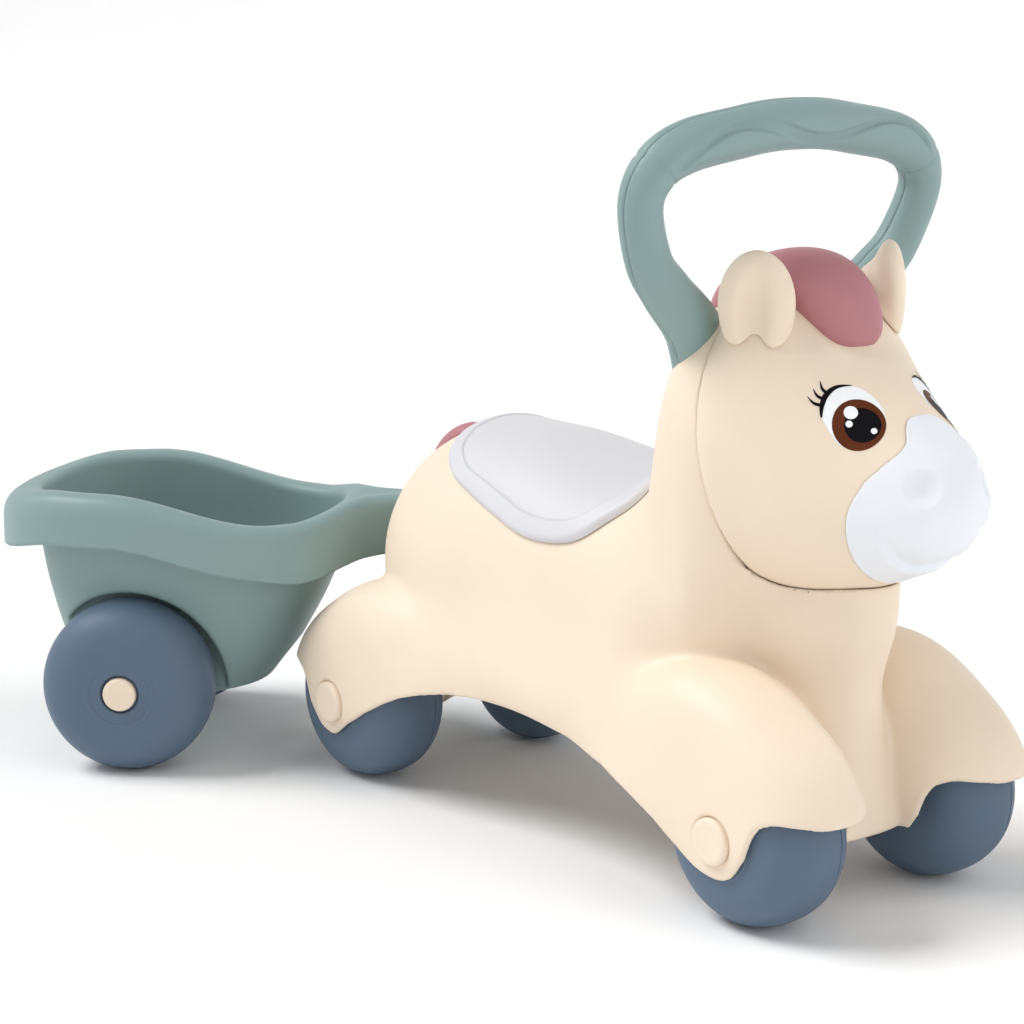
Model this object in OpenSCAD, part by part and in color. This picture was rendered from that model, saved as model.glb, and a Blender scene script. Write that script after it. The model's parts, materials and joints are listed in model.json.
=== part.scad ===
/* [Wheels] */
// Wheel diameter
wheel_d = 112; // [104:1:116]
// Distance between the front and rear axles
wheelbase = 379; // [360:1:400]
// Distance between the left and right wheel centres of the pony
track = 144; // [140:1:150]
// Width of a wheel over its two hub faces
wheel_w = 62; // [56:1:63]
// Radius of the rounded tread across the wheel
tread_r = 40; // [38:1:48]
// Wall of the hollow wheel mouldings
wheel_wall = 2.5; // [2:0.1:4]
// Distance from the wheel's middle to the joint of its two mouldings
wheel_seam = 13; // [6:1:15]
// Diameter of the steel axle rods
axle_d = 8; // [6:0.5:10]
// Running clearance of a wheel on its axle, on the radius
run_clear = 0.08; // [0.05:0.01:0.1]

/* [Body] */
// Wall of the moulded body, head and muzzle shells
body_wall = 3; // [2.5:0.1:3.5]
// Height of the barrel's top, under the seat pad
barrel_top = 246; // [240:1:252]
// Half width of the barrel
barrel_half_w = 85; // [82:1:88]
// Length of the rump behind the rear axle
rump_reach = 31; // [24:1:38]
// Height of the tops of the legs
leg_top = 148; // [142:1:154]
// How far a front hoof reaches ahead of its axle
hoof_reach = 75; // [70:1:82]
// Distance from the wheel's middle plane to the outer face of a leg's cheek
cheek_out = 37.5; // [36.5:0.1:40]
// Radius of the cheek lobe round an axle end
cheek_r = 23; // [20:1:27]
// Height of the lower edge of the chest, between the front legs
chest_low = 41; // [36:1:48]
// Height of the belly arch between the legs
belly_arch = 88; // [82:1:94]
// Height of the fender edge over a wheel
fender_edge = 77; // [72:1:82]

/* [Head] */
// Radius of the ball of the head
head_r = 87; // [84:1:90]
// Height of the centre of the head
head_z = 277; // [272:1:284]
// Distance of the head's centre behind the front axle
head_back = 44.5; // [40:0.5:50]
// Lean of the joint between head and neck, from upright
seam_lean = 8.5; // [5:0.5:12]
// Radius of the snout
snout_r = 42; // [40:1:45]
// How far the snout's centre lies ahead of the head's centre
snout_ahead = 90; // [86:1:95]
// How far the snout's centre lies below the head's centre
snout_drop = 29; // [25:1:34]
// Gap at the joints between moulded shells
joint_gap = 0.3; // [0.2:0.1:0.5]

/* [Seat] */
// Length of the rump left bare behind the seat pad
rump_bare = 79; // [72:1:86]
// Thickness of the seat pad
seat_t = 7; // [5:0.5:9]
// Height of the raised border of the seat pad
seat_border = 1.5; // [0.5:0.1:2.5]

/* [Handle] */
// Height of the handle's top
handle_top = 468; // [455:1:480]
// Overall width of the handle loop
handle_w = 254; // [245:1:264]
// Thickness of the grip bar
grip_t = 30; // [27:1:33]

/* [Trailer] */
// Distance from the hitch pin to the trailer's axle
drawbar = 188; // [180:1:200]
// Diameter of the trailer's wheels
trailer_wheel_d = 119; // [113:1:122]
// Distance between the trailer's wheel centres
trailer_track = 176; // [170:1:184]
// Swing of the trailer from straight behind, at rest
trailer_swing = 46; // [30:1:50]
// Height of the trailer's rim at its back
rim_z = 194; // [188:1:200]
// Overall width of the trailer's rim
rim_w = 214; // [206:1:222]
// Depth of the turned-down rim
rim_skirt = 36; // [30:1:42]
// Height of the underside of the trailer's tub
tub_floor = 42; // [38:1:46]
// Wall of the trailer's tub
tub_wall = 3; // [2.5:0.1:4]
// Diameter of the hitch pin
pin_d = 14; // [12:0.5:16]

/* [Hidden] */

// Colours of the mouldings
cream = [0.97, 0.90, 0.82];
sage = [0.56, 0.65, 0.64];
slate = [0.37, 0.45, 0.53];
rose = [0.75, 0.54, 0.55];
white = [0.96, 0.97, 0.98];
steel = [0.72, 0.73, 0.75];

// Fineness of round outer forms, of hidden inner forms and of turned parts
round_fn = 20;
inner_fn = 14;
core_fn = 10;
turned_fn = 72;

wheel_r = wheel_d / 2;
trailer_wheel_r = trailer_wheel_d / 2;
axle_r = axle_d / 2;
front_x = wheelbase / 2;
rear_x = -wheelbase / 2;
side_y = track / 2;
half_w = wheel_w / 2;
cheek_y = side_y + cheek_out;

function mix(a, b, t) = a + (b - a) * t;
function ease(t) = t * t * (3 - 2 * t);
function share(a, b, u) = max(0, min(1, (u - a) / (b - a)));

// Point at place t (0 to count - 1) on a smooth curve through the points
function spline(p, t) =
  let (
    n = len(p) - 1,
    i = min(floor(t), n - 1),
    u = t - i,
    a = p[max(i - 1, 0)],
    b = p[i],
    c = p[i + 1],
    d = p[min(i + 2, n)]
  )
  b + u * ((c - a) / 2 + u * ((2 * a - 5 * b + 4 * c - d) / 2 + u * (3 * b - a - 3 * c + d) / 2));

// Closed skin over a list of rings that have equal counts of points, with flat ends
module skin(rings) {
  n = len(rings[0]);
  m = len(rings);
  polyhedron(
    points = [for (r = rings) for (p = r) p],
    faces = concat(
      [[for (j = [n - 1 : -1 : 0]) j]],
      [for (i = [0 : m - 2]) for (j = [0 : n - 1])
        [i * n + j, i * n + (j + 1) % n, (i + 1) * n + j]],
      [for (i = [0 : m - 2]) for (j = [0 : n - 1])
        [i * n + (j + 1) % n, (i + 1) * n + (j + 1) % n, (i + 1) * n + j]],
      [[for (j = [0 : n - 1]) (m - 1) * n + j]]
    )
  );
}

module ellipsoid(centre, semi, fn) {
  translate(centre) scale(semi) sphere(r = 1, $fn = fn);
}

module mirrored() {
  children();
  mirror([0, 1, 0]) children();
}

// Body of the pony

// Centre and half sizes of the rump, the withers, the chest and the legs
barrel_z = 150;
barrel_h = barrel_top - barrel_z;
rump_len = 106;
rump_x = rear_x - rump_reach + rump_len;
withers_x = front_x - 125;
withers_len = 90;
withers_flare = 2;
chest_x = front_x - 60;
chest_half_w = 56;
chest_z = 165;
chest_len = 76;
chest_h = 60;
neck_in = 4;
apron_len = 66;
apron_grow = 1;
flank_z = 100;
flank_h = 60;
flank_half_w = cheek_y - 11;
chest_front = front_x + 27;
head_x = front_x - head_back;
nape_back = 14;
nape_len = 68;
leg_y = side_y - 3;
leg_half_w = cheek_y - leg_y + 4;
hoof_len = 60;
hoof_h = 56;
hoof_z = wheel_r + 5;
thigh_len = 70;
thigh_h = 53;
thigh_back = 42;
hock_len = 102;
hock_h = 50;
hock_back = 32;
hock_z = wheel_r + 12;
cheek_flat_r = 36;
rear_leg_fall = 2;
rib_y = side_y - half_w - 1;
rib_t = 3;
rib_len = 64;
apron_half_w = rib_y;
apron_back = front_x - rib_len / 4;
// Reach of a cutter, more than the pony reaches from its middle
beyond = 500;

// Leg of three swellings: hoof with its tip at tip_x, thigh, and hock towards the belly
module leg_form(axle_x, tip_x, top, inset, fn) {
  way = sign(tip_x - axle_x);
  hull() {
    ellipsoid([tip_x - way * hoof_len, leg_y, hoof_z],
      [hoof_len - inset, leg_half_w - inset, hoof_h - inset], fn);
    ellipsoid([axle_x - way * thigh_back, leg_y, top - thigh_h],
      [thigh_len - inset, leg_half_w - inset, thigh_h - inset], fn);
    ellipsoid([axle_x - way * hock_back, leg_y, hock_z],
      [hock_len - inset, leg_half_w - inset, hock_h - inset], fn);
    translate([axle_x, leg_y, wheel_r])
      rotate([-90, 0, 0]) cylinder(r = cheek_flat_r - inset, h = cheek_y - leg_y - inset, $fn = fn);
  }
}

// Back of the neck, up to the joint with the head
module nape(inset, fn) {
  ellipsoid([head_x - nape_back, 0, head_z - 1],
    [nape_len - inset, head_r - 4 - inset, head_r - 1 - inset], fn);
}

module body_form(inset, fn, trunk_fn) {
  // Barrel and rump, flaring to the flanks
  hull() {
    ellipsoid([rump_x, 0, barrel_z],
      [rump_len - inset, barrel_half_w - inset, barrel_h - inset], trunk_fn);
    ellipsoid([withers_x, 0, barrel_z],
      [withers_len - inset, barrel_half_w + withers_flare - inset, barrel_h - inset], trunk_fn);
    for (x = [rump_x + 20, withers_x])
      ellipsoid([x, 0, flank_z],
        [withers_len - inset, flank_half_w - inset, flank_h - inset], trunk_fn);
  }
  // Neck
  hull() {
    nape(inset, trunk_fn);
    ellipsoid([chest_x, 0, chest_z],
      [chest_len - neck_in - inset, chest_half_w - neck_in - inset, chest_h - inset], trunk_fn);
  }
  // Chest, down to its apron between the front legs
  hull() {
    ellipsoid([chest_x, 0, chest_z],
      [chest_len - inset, chest_half_w - inset, chest_h - inset], trunk_fn);
    translate([chest_front - apron_len, 0, chest_low - 10])
      scale([apron_len - inset, apron_half_w - inset, 1])
        cylinder(r = 1, h = 40, $fn = trunk_fn);
  }
  mirrored() {
    leg_form(front_x, front_x + hoof_reach, leg_top, inset, fn);
    leg_form(rear_x, rear_x - hoof_reach, leg_top - rear_leg_fall, inset, fn);
  }
}

// Side view of the space under the lower edge of the legs and belly
arch_x = -15;
arch_rear_r = 0.765 * wheelbase;
arch_front_r = 0.963 * wheelbase;
edge_round = 6;
cheek_spread = 8;
rear_fender_fall = 3;
module arch(from_x, to_x, r) {
  intersection() {
    translate([arch_x, belly_arch - r]) circle(r = r, $fn = 72);
    translate([from_x, -beyond]) square([to_x - from_x, 2 * beyond]);
  }
}

// All lower than a height, from one place along the body to another
module below(from_x, to_x, z) {
  translate([from_x, -beyond]) square([to_x - from_x, beyond + z]);
}

module under_edge() {
  offset(r = -edge_round, $fn = 12)
    offset(r = 2 * edge_round, $fn = 12)
    offset(r = -edge_round, $fn = 12)
    difference() {
      union() {
        arch(rear_x, arch_x + joint_gap, arch_rear_r);
        arch(arch_x, front_x, arch_front_r);
        below(front_x, front_x + beyond, fender_edge);
        below(rear_x - beyond, rear_x, fender_edge - rear_fender_fall);
        below(rear_x - beyond, front_x + beyond, wheel_r - cheek_r - 1);
      }
      for (x = [front_x, rear_x])
        hull() {
          translate([x, wheel_r]) circle(r = cheek_r, $fn = 28);
          translate([x - cheek_r - cheek_spread, fender_edge])
            square([2 * (cheek_r + cheek_spread), fender_edge / 4]);
        }
    }
}

module along_y(half_length) {
  rotate([90, 0, 0])
    translate([0, 0, -half_length])
      linear_extrude(2 * half_length) children();
}

// What the lower edge takes away: all of it outside the apron, and all below the apron's edge.
// The underside is open between the bearing ribs
module under_cut() {
  difference() {
    along_y(beyond) under_edge();
    intersection() {
      translate([chest_front - apron_len, 0, chest_low])
        scale([apron_len + apron_grow, apron_half_w + apron_grow, 1])
          cylinder(r = 1, h = beyond, $fn = round_fn);
      translate([apron_back, -beyond, 0]) cube(2 * beyond);
    }
  }
  translate([rear_x + rib_len / 2, -rib_y, 0]) cube([wheelbase - rib_len, 2 * rib_y, flank_z]);
}

// Half space ahead of the joint between neck and head
module ahead_of_seam(gap) {
  translate([head_x, 0, head_z])
    rotate([0, -seam_lean, 0])
      translate([gap, -beyond, -beyond]) cube([beyond, 2 * beyond, 2 * beyond]);
}

// Room in the neck for the head, which stands a little proud of it
module head_room() {
  intersection() {
    head_form(-joint_gap, round_fn);
    ahead_of_seam(0);
  }
}

// Bearing ribs inside the body, one on the inner side of each wheel
module ribs() {
  intersection() {
    body_form(body_wall / 2, inner_fn, inner_fn);
    mirrored()
      for (x = [front_x, rear_x])
        translate([x - rib_len / 2, rib_y - rib_t, chest_low]) cube([rib_len, rib_t, beyond]);
  }
}

// Boss behind each cheek, which carries the axle's end
boss_y = side_y + half_w + 0.6;
module cheek_bosses() {
  mirrored()
    for (x = [front_x, rear_x])
      translate([x, boss_y, wheel_r])
        rotate([-90, 0, 0])
          cylinder(r = cap_r + body_wall, h = leg_y + leg_half_w - body_wall / 2 - boss_y, $fn = 24);
}

axle_hole_clear = 0.3;
module axle_holes() {
  for (x = [front_x, rear_x])
    translate([x, 0, wheel_r])
      rotate([90, 0, 0])
        cylinder(r = axle_r + axle_hole_clear, h = 2 * beyond, center = true, $fn = 20);
}

module body_shell() {
  color(cream)
    difference() {
      union() {
        difference() {
          body_form(0, round_fn, round_fn);
          body_form(body_wall, inner_fn, core_fn);
        }
        ribs();
        cheek_bosses();
        hitch_block();
      }
      under_cut();
      axle_holes();
      head_room();
      seat_form(joint_gap);
      handle_form(joint_gap);
      cap_seats();
      hitch_holes();
    }
}

// Head

seam_centre = [head_x, 0, head_z];
snout_x = head_x + snout_ahead;
snout_z = head_z - snout_drop;
muzzle_x = snout_x - 4;
head_steps = 8;
// From the joint to the snout: place ahead, fall, and half sizes along, across and up
head_sections = [
  [0, 0, 48, head_r - 2, head_r + 3],
  [0.42 * snout_ahead, 0.69 * snout_drop, 46, mix(head_r, snout_r, 0.43), mix(head_r, snout_r, 0.38)],
  [snout_ahead, snout_drop, snout_r, snout_r, snout_r]
];

// Head drawn out into the snout
module head_slice(t, inset, fn) {
  s = spline(head_sections, t * (len(head_sections) - 1));
  ellipsoid([head_x + s[0], 0, head_z - s[1]], [s[2] - inset, s[3] - inset, s[4] - inset], fn);
}

module head_form(inset, fn) {
  for (i = [0 : head_steps - 1])
    hull() {
      head_slice(i / head_steps, inset, fn);
      head_slice((i + 1) / head_steps, inset, fn);
    }
}

// Half space ahead of the joint between face and muzzle
module ahead_of_muzzle(gap) {
  translate([muzzle_x + gap, -beyond, 0]) cube([beyond, 2 * beyond, 2 * beyond]);
}

module head_shell() {
  color(cream)
    difference() {
      intersection() {
        head_form(0, round_fn);
        ahead_of_seam(joint_gap);
      }
      head_form(body_wall, inner_fn);
      ahead_of_muzzle(0);
    }
}

// Nostril places on the front of the snout
nostril_r = 9;
nostril_y = 24;
nostril_z = 14;
module muzzle() {
  color(white)
    difference() {
      intersection() {
        head_form(0, round_fn);
        ahead_of_muzzle(joint_gap);
      }
      head_form(body_wall, inner_fn);
      mirrored()
        translate([snout_x, nostril_y, snout_z + nostril_z])
          rotate([0, 0, asin(nostril_y / snout_r)])
            translate([snout_r - 8 + nostril_r, 0, 0]) sphere(r = nostril_r, $fn = 24);
    }
}

// Forelock between the ears, over the top of the head
mane_front = 50;
mane_back = 140;
mane_half_w = 33;
mane_t = 16;
mane_steps = 9;
function mane_swell(t) = 0.45 + 0.55 * sin(180 * pow(t, 0.8));
module mane_slice(t) {
  translate(seam_centre)
    rotate([0, -mix(mane_front, mane_back, t), 0])
      translate([head_r - 6, 0, 0])
        scale([6 + mane_t * mane_swell(t), mane_half_w * mane_swell(t), 14])
          sphere(r = 1, $fn = 16);
}

// Head and nape together, grown by the gap that keeps loose pieces clear of them
module head_seat() {
  head_form(-joint_gap, round_fn);
  nape(-joint_gap, round_fn);
}

module mane() {
  color(rose)
    difference() {
      for (i = [0 : mane_steps - 1])
        hull() {
          mane_slice(i / mane_steps);
          mane_slice((i + 1) / mane_steps);
        }
      head_seat();
    }
}

// Ears
ear_base = [13, 55, 60];
ear_tip = [18, 58, 106];
ear_half_w = 23;
ear_t = 8;
ear_turn = 53;
ear_scoop = [11, 15, 22];
ear_steps = 8;
module ear_slice(t) {
  translate(seam_centre + mix(ear_base, ear_tip, t))
    rotate([0, 0, ear_turn])
      scale([ear_t * (1 - 0.4 * t), 3 + (ear_half_w - 3) * sqrt(1 - pow(abs(t - 0.3) / 0.7, 2.4)), 5])
        sphere(r = 1, $fn = 16);
}

module ear() {
  color(cream)
    difference() {
      for (i = [0 : ear_steps - 1])
        hull() {
          ear_slice(i / ear_steps);
          ear_slice((i + 1) / ear_steps);
        }
      head_seat();
      translate(seam_centre + mix(ear_base, ear_tip, 0.42) + [ear_scoop[0], ear_scoop[1], 0])
        rotate([0, 0, ear_turn]) scale(ear_scoop) sphere(r = 1, $fn = 16);
    }
}

module ear_left() ear();
module ear_right() mirror([0, 1, 0]) ear();

// Ends of the seat
seat_front = withers_x - 5;
seat_rear = rump_x - rump_len + rump_bare;

// Tail, lying on the rump behind the seat: turns from straight up, round the rump's side view
seat_turn = asin((rump_x - seat_rear) / rump_len);
tail_gap_turn = 15;
tail_turn = 30;
tail_lift = 0.98;
tail_r = [9, 12, 12, 10, 6];
tail_broad = 1.2;
tail_steps = 8;
module tail_slice(t) {
  turn = seat_turn + tail_gap_turn + tail_turn * t;
  translate([rump_x - tail_lift * rump_len * sin(turn), 0, barrel_z + tail_lift * barrel_h * cos(turn)])
    scale([1, tail_broad, 1])
      sphere(r = spline(tail_r, t * (len(tail_r) - 1)), $fn = 14);
}

module tail() {
  color(rose)
    difference() {
      for (i = [0 : tail_steps - 1])
        hull() {
          tail_slice(i / tail_steps);
          tail_slice((i + 1) / tail_steps);
        }
      ellipsoid([rump_x, 0, barrel_z],
        [rump_len, barrel_half_w, barrel_h] + joint_gap * [1, 1, 1], 48);
      seat_form(joint_gap);
    }
}

// Seat pad, laid over the barrel

// Half outline from back to front: share of the length, half width
seat_outline = [
  [0, 0], [0.005, 20], [0.02, 36], [0.065, 52], [0.155, 63], [0.29, 70], [0.44, 75], [0.6, 79],
  [0.76, 79], [0.87, 76], [0.94, 67], [0.985, 53], [1, 32], [1, 0]
];
seat_points = 32;
seat_sink = 1.2;

// Height of the barrel over its middle, and its surface normal
function barrel_off(x) = x < rump_x ? (x - rump_x) / rump_len : 0;
function barrel_half(x) = barrel_half_w + withers_flare * share(rump_x, withers_x, x);
function barrel_rise(x, y) = sqrt(max(0.02, 1 - pow(barrel_off(x), 2) - pow(y / barrel_half(x), 2)));
function barrel_point(x, y) = [x, y, barrel_z + barrel_h * barrel_rise(x, y)];
function barrel_normal(x, y) =
  let (n = [barrel_off(x) / rump_len, y / pow(barrel_half(x), 2), barrel_rise(x, y) / barrel_h])
  n / norm(n);

function outline_point(j) =
  let (
    t = j / seat_points * 2,
    s = spline(seat_outline, (t <= 1 ? t : 2 - t) * (len(seat_outline) - 1))
  )
  [mix(seat_rear, seat_front, share(0, 1, s[0])), (t <= 1 ? 1 : -1) * max(0, s[1])];

seat_middle = [mix(seat_rear, seat_front, 0.57), 0];
// Thickness of the pad at share k from its middle: a border stands above the inner field
function seat_height(k) =
  seat_t * (k > 0.98 ? 0.35 : 1) + seat_border * (k > 0.82 && k < 0.98 ? 1 : 0);

function seat_ring(k, height, grow) =
  [for (j = [0 : seat_points - 1])
    let (
      edge = outline_point(j) - seat_middle,
      p = seat_middle + edge * k + edge / norm(edge) * grow * k
    )
    barrel_point(p[0], p[1]) + barrel_normal(p[0], p[1]) * height];

module seat_form(clear) {
  skin(concat(
    [for (k = [0.04, 0.4, 0.75, 1]) seat_ring(k, -seat_sink - clear, clear)],
    [for (k = [1, 0.97, 0.9, 0.8, 0.77, 0.5, 0.25, 0.04]) seat_ring(k, seat_height(k) + clear, clear)]
  ));
}

module seat() {
  color(white) seat_form(0);
}

// Handle loop

handle_lean = 10;
handle_behind = 32;
handle_above = 43;
handle_base_x = head_x - handle_behind;
handle_base_z = head_z + handle_above;
handle_side_t = 26;
handle_steps = 38;
handle_sides = 9;
// Half of the route, from the middle of the grip: share of the half width, fall below the grip
handle_route = [
  [0, 0], [0.2, 0.8], [0.41, 4], [0.74, 10.5], [0.93, 22], [1, 42], [0.9, 74], [0.75, 93],
  [0.52, 118], [0.38, 150]
];
handle_half_t = [1, 1, 1, 1, 0.93, 0.86, 0.9, 1, 1.15, 1.25];
handle_end = len(handle_route) - 1;
half_route_w = handle_w / 2 - handle_side_t / 2;
route_top = handle_top - grip_t / 2;

function handle_flat(t) =
  let (s = spline(handle_route, abs(t)))
  [sign(t) * s[0] * half_route_w, route_top - s[1]];
function handle_place(q) =
  [handle_base_x + (q[1] - handle_base_z) * tan(handle_lean), q[0], q[1]];
handle_up = [tan(handle_lean), 0, 1];
handle_depth = [cos(handle_lean), 0, -sin(handle_lean)];

// Ring of the handle's section at place t, over the angles from a0 to a1
function handle_ring(t, a0, a1, count, grow, part) =
  let (
    q = handle_flat(t),
    d = handle_flat(min(t + 0.02, handle_end)) - handle_flat(max(t - 0.02, -handle_end)),
    side = handle_up * d[0] - [0, d[1] / pow(cos(handle_lean), 2), 0],
    across = side / norm(side),
    r = grip_t / 2 * spline(handle_half_t, abs(t)) + grow
  )
  [for (k = [0 : count - 1])
    let (f = mix(a0, a1, k / (count - 1)))
    handle_place(q) + across * r * cos(f) + handle_depth * (r * sin(f) + part)];

function handle_rings(a0, a1, count, grow, part) =
  [for (i = [0 : handle_steps])
    handle_ring(mix(-handle_end, handle_end, i / handle_steps), a0, a1, count, grow, part)];

module handle_form(clear) {
  skin(handle_rings(360, 360 / 16, 16, clear, 0));
}

module handle_front() {
  color(sage) skin(handle_rings(180, 0, handle_sides, 0, joint_gap / 2));
}

module handle_back() {
  color(sage) skin(handle_rings(360, 180, handle_sides, 0, -joint_gap / 2));
}

// Wheels, axles and caps

hub_r = axle_r + run_clear + 4;
recess_r = 13;
recess_depth = 4;
face_r = 38;
face_dip = 0.3;
// Bead round the hub on the wheel's face
bead_in = 21;
bead_out = 24;
face_round = 2;
tread_edge = half_w - face_round;
tread_points = 7;

function tread_radius(r, s) = r - tread_r + sqrt(tread_r * tread_r - s * s);

// Half section of one wheel moulding from the joint at s = from to the hub face at s = dir * half_w
function tread_line(r, from, dir, inset) =
  [for (i = [0 : tread_points])
    let (s = mix(from, dir * (tread_edge - inset / 2), i / tread_points))
    [tread_radius(r, s) - inset, s]];
function wheel_section(r, from, dir) =
  concat(
    tread_line(r, from, dir, 0),
    [[face_r, dir * (half_w - 2 * face_dip)],
     [bead_out + face_dip, dir * (half_w - face_dip)], [bead_out, dir * half_w],
     [bead_in, dir * half_w], [bead_in - face_dip, dir * (half_w - face_dip)],
     [recess_r, dir * (half_w - face_dip)], [recess_r, dir * (half_w - recess_depth)],
     [axle_r + run_clear, dir * (half_w - recess_depth)], [axle_r + run_clear, from], [hub_r, from],
     [hub_r, dir * (half_w - recess_depth - wheel_wall)],
     [recess_r + wheel_wall, dir * (half_w - recess_depth - wheel_wall)],
     [recess_r + wheel_wall, dir * (half_w - wheel_wall - 2 * face_dip)],
     [face_r - wheel_wall, dir * (half_w - wheel_wall - 2 * face_dip)]],
    [for (i = [tread_points : -1 : 0]) tread_line(r, from, dir, wheel_wall)[i]]
  );

// The open moulding is the larger one, the cover closes it on the +Y side
module wheel_main(r) {
  color(slate) rotate([-90, 0, 0])
    rotate_extrude($fn = turned_fn) polygon(wheel_section(r, wheel_seam, -1));
}

module wheel_cover(r) {
  color(slate) rotate([-90, 0, 0])
    rotate_extrude($fn = turned_fn) polygon(wheel_section(r, wheel_seam + joint_gap, 1));
}

module pony_wheel_place(x, side) {
  translate([x, side * side_y, wheel_r]) children();
}

axle_inset = 1;
module pony_axle(x) {
  color(steel)
    translate([x, 0, wheel_r]) rotate([90, 0, 0])
      cylinder(r = axle_r, h = 2 * (cheek_y - axle_inset), center = true, $fn = turned_fn);
}

// Cap over an axle end: a shallow dome with a blind hole for the rod
cap_r = 14;
cap_sunk = 2;
cap_proud = 2.2;
cap_bevel = 1.2;
cap_clear = 0.05;
module cap_solid(r, sunk, proud, hole) {
  color(cream)
    difference() {
      rotate_extrude($fn = turned_fn)
        polygon([
          [0, -sunk], [r, -sunk], [r, proud * 0.4], [r - cap_bevel, proud * 0.85],
          [r * 0.6, proud], [0, proud]
        ]);
      translate([0, 0, -sunk - 1])
        cylinder(r = axle_r + cap_clear, h = 1 + hole, $fn = turned_fn);
    }
}

module pony_cap(x, side) {
  translate([x, side * cheek_y, wheel_r])
    rotate([-90 * side, 0, 0]) cap_solid(cap_r, cap_sunk, cap_proud, cap_sunk - axle_inset + cap_clear);
}

module cap_seats() {
  mirrored()
    for (x = [front_x, rear_x])
      translate([x, cheek_y - cap_sunk - cap_clear, wheel_r])
        rotate([-90, 0, 0]) cylinder(r = cap_r + joint_gap, h = 20, $fn = 24);
}

module front_axle() pony_axle(front_x);
module rear_axle() pony_axle(rear_x);
module cap_front_right() pony_cap(front_x, -1);
module cap_front_left() pony_cap(front_x, 1);
module cap_rear_right() pony_cap(rear_x, -1);
module cap_rear_left() pony_cap(rear_x, 1);
module wheel_front_right() pony_wheel_place(front_x, -1) wheel_main(wheel_r);
module wheel_front_right_cover() pony_wheel_place(front_x, -1) wheel_cover(wheel_r);
module wheel_front_left() pony_wheel_place(front_x, 1) wheel_main(wheel_r);
module wheel_front_left_cover() pony_wheel_place(front_x, 1) wheel_cover(wheel_r);
module wheel_rear_right() pony_wheel_place(rear_x, -1) wheel_main(wheel_r);
module wheel_rear_right_cover() pony_wheel_place(rear_x, -1) wheel_cover(wheel_r);
module wheel_rear_left() pony_wheel_place(rear_x, 1) wheel_main(wheel_r);
module wheel_rear_left_cover() pony_wheel_place(rear_x, 1) wheel_cover(wheel_r);

// Hitch

pin_r = pin_d / 2;
hitch_x = rear_x - rump_reach - 17;
shelf_t = 7;
shelf_z = 132;
shelf_r = 15;
flange_x = hitch_x + 41;
flange_t = 4;
flange_w = 42;
flange_h = 30;
ring_low = shelf_z + shelf_t + joint_gap;
ring_h = 33;
ring_r = pin_r + 6;

module shelf_outline(grow) {
  hull() {
    translate([hitch_x, 0]) circle(r = shelf_r + grow, $fn = turned_fn);
    translate([flange_x - 1, -shelf_r - grow]) square([1, 2 * (shelf_r + grow)]);
  }
}

module hitch_bracket() {
  color(cream)
    difference() {
      union() {
        translate([0, 0, shelf_z]) linear_extrude(shelf_t) shelf_outline(0);
        translate([flange_x - 1, -flange_w / 2, shelf_z + shelf_t / 2 - flange_h / 2])
          cube([flange_t + 1, flange_w, flange_h]);
      }
      translate([hitch_x, 0, shelf_z - 1])
        cylinder(r = pin_r + cap_clear, h = shelf_t + 2, $fn = turned_fn);
    }
}

// Block inside the rump, which the bracket's flange bears on
module hitch_block() {
  intersection() {
    body_form(body_wall / 2, inner_fn, inner_fn);
    translate([flange_x - 1 - joint_gap - 30, -flange_w / 2, shelf_z + shelf_t / 2 - flange_h / 2])
      cube([30, flange_w, flange_h]);
  }
}

module hitch_holes() {
  translate([0, 0, shelf_z - joint_gap])
    linear_extrude(shelf_t + 2 * joint_gap) shelf_outline(joint_gap);
}

pin_flange_t = 3;
module hitch_pin() {
  color(cream)
    translate([hitch_x, 0, 0])
      rotate_extrude($fn = turned_fn)
        polygon([
          [0, shelf_z - pin_flange_t], [pin_r + pin_flange_t, shelf_z - pin_flange_t],
          [pin_r + pin_flange_t, shelf_z], [pin_r, shelf_z],
          [pin_r, ring_low + ring_h - 4], [pin_r - 2, ring_low + ring_h - 1], [0, ring_low + ring_h]
        ]);
}

// Trailer, drawn straight behind the hitch pin and then swung to its rest place

module at_hitch() {
  translate([hitch_x, 0, 0]) rotate([0, 0, trailer_swing]) children();
}

trailer_y = trailer_track / 2;
tub_u = 25 - drawbar;
tub_points = 28;
tub_power = 2.5;

// Wave of the rim along the trailer, measured from its axle
function rim_wave(u) =
  let (a = u + drawbar)
  rim_z - 22 * ease(share(-15, 100, a)) + 9 * ease(share(110, 155, a)) - 11 * ease(share(-45, -110, a));

// Outline of the tub: half lengths ahead and behind its middle, and half width
function tub_xy(f, ahead, behind, half) =
  let (c = cos(f), s = sin(f), p = 2 / tub_power)
  [tub_u + sign(c) * pow(abs(c), p) * (c > 0 ? ahead : behind), sign(s) * pow(abs(s), p) * half];
function tub_ring(ahead, behind, half, z) =
  [for (j = [0 : tub_points - 1])
    let (q = tub_xy(-360 * j / tub_points, ahead, behind, half)) [q[0], q[1], z]];
// Ring that follows the wave of the rim, at a fall below its crest
function rim_ring(ahead, behind, half, fall) =
  [for (j = [0 : tub_points - 1])
    let (q = tub_xy(-360 * j / tub_points, ahead, behind, half)) [q[0], q[1], rim_wave(q[0]) - fall]];

// Skirt of the rim, deeper at the front
skirt_drop = 4;
function skirt(u) = rim_skirt + skirt_drop * ease(share(60, 110, u - tub_u));
function skirt_ring(ahead, behind, half) =
  [for (p = rim_ring(ahead, behind, half, 0)) p - [0, 0, skirt(p[0])]];

rim_half = rim_w / 2;
rim_ahead = 131;
rim_behind = 129;
rim_in = 19;
// Levels of the wall: half length ahead, behind, half width and height
tub_levels = [
  [48, 54, 52, 0], [66, 70, 66, 7], [84, 86, 77, 34], [102, 97, 84, 72], [112, 103, 87, 104]
];

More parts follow.
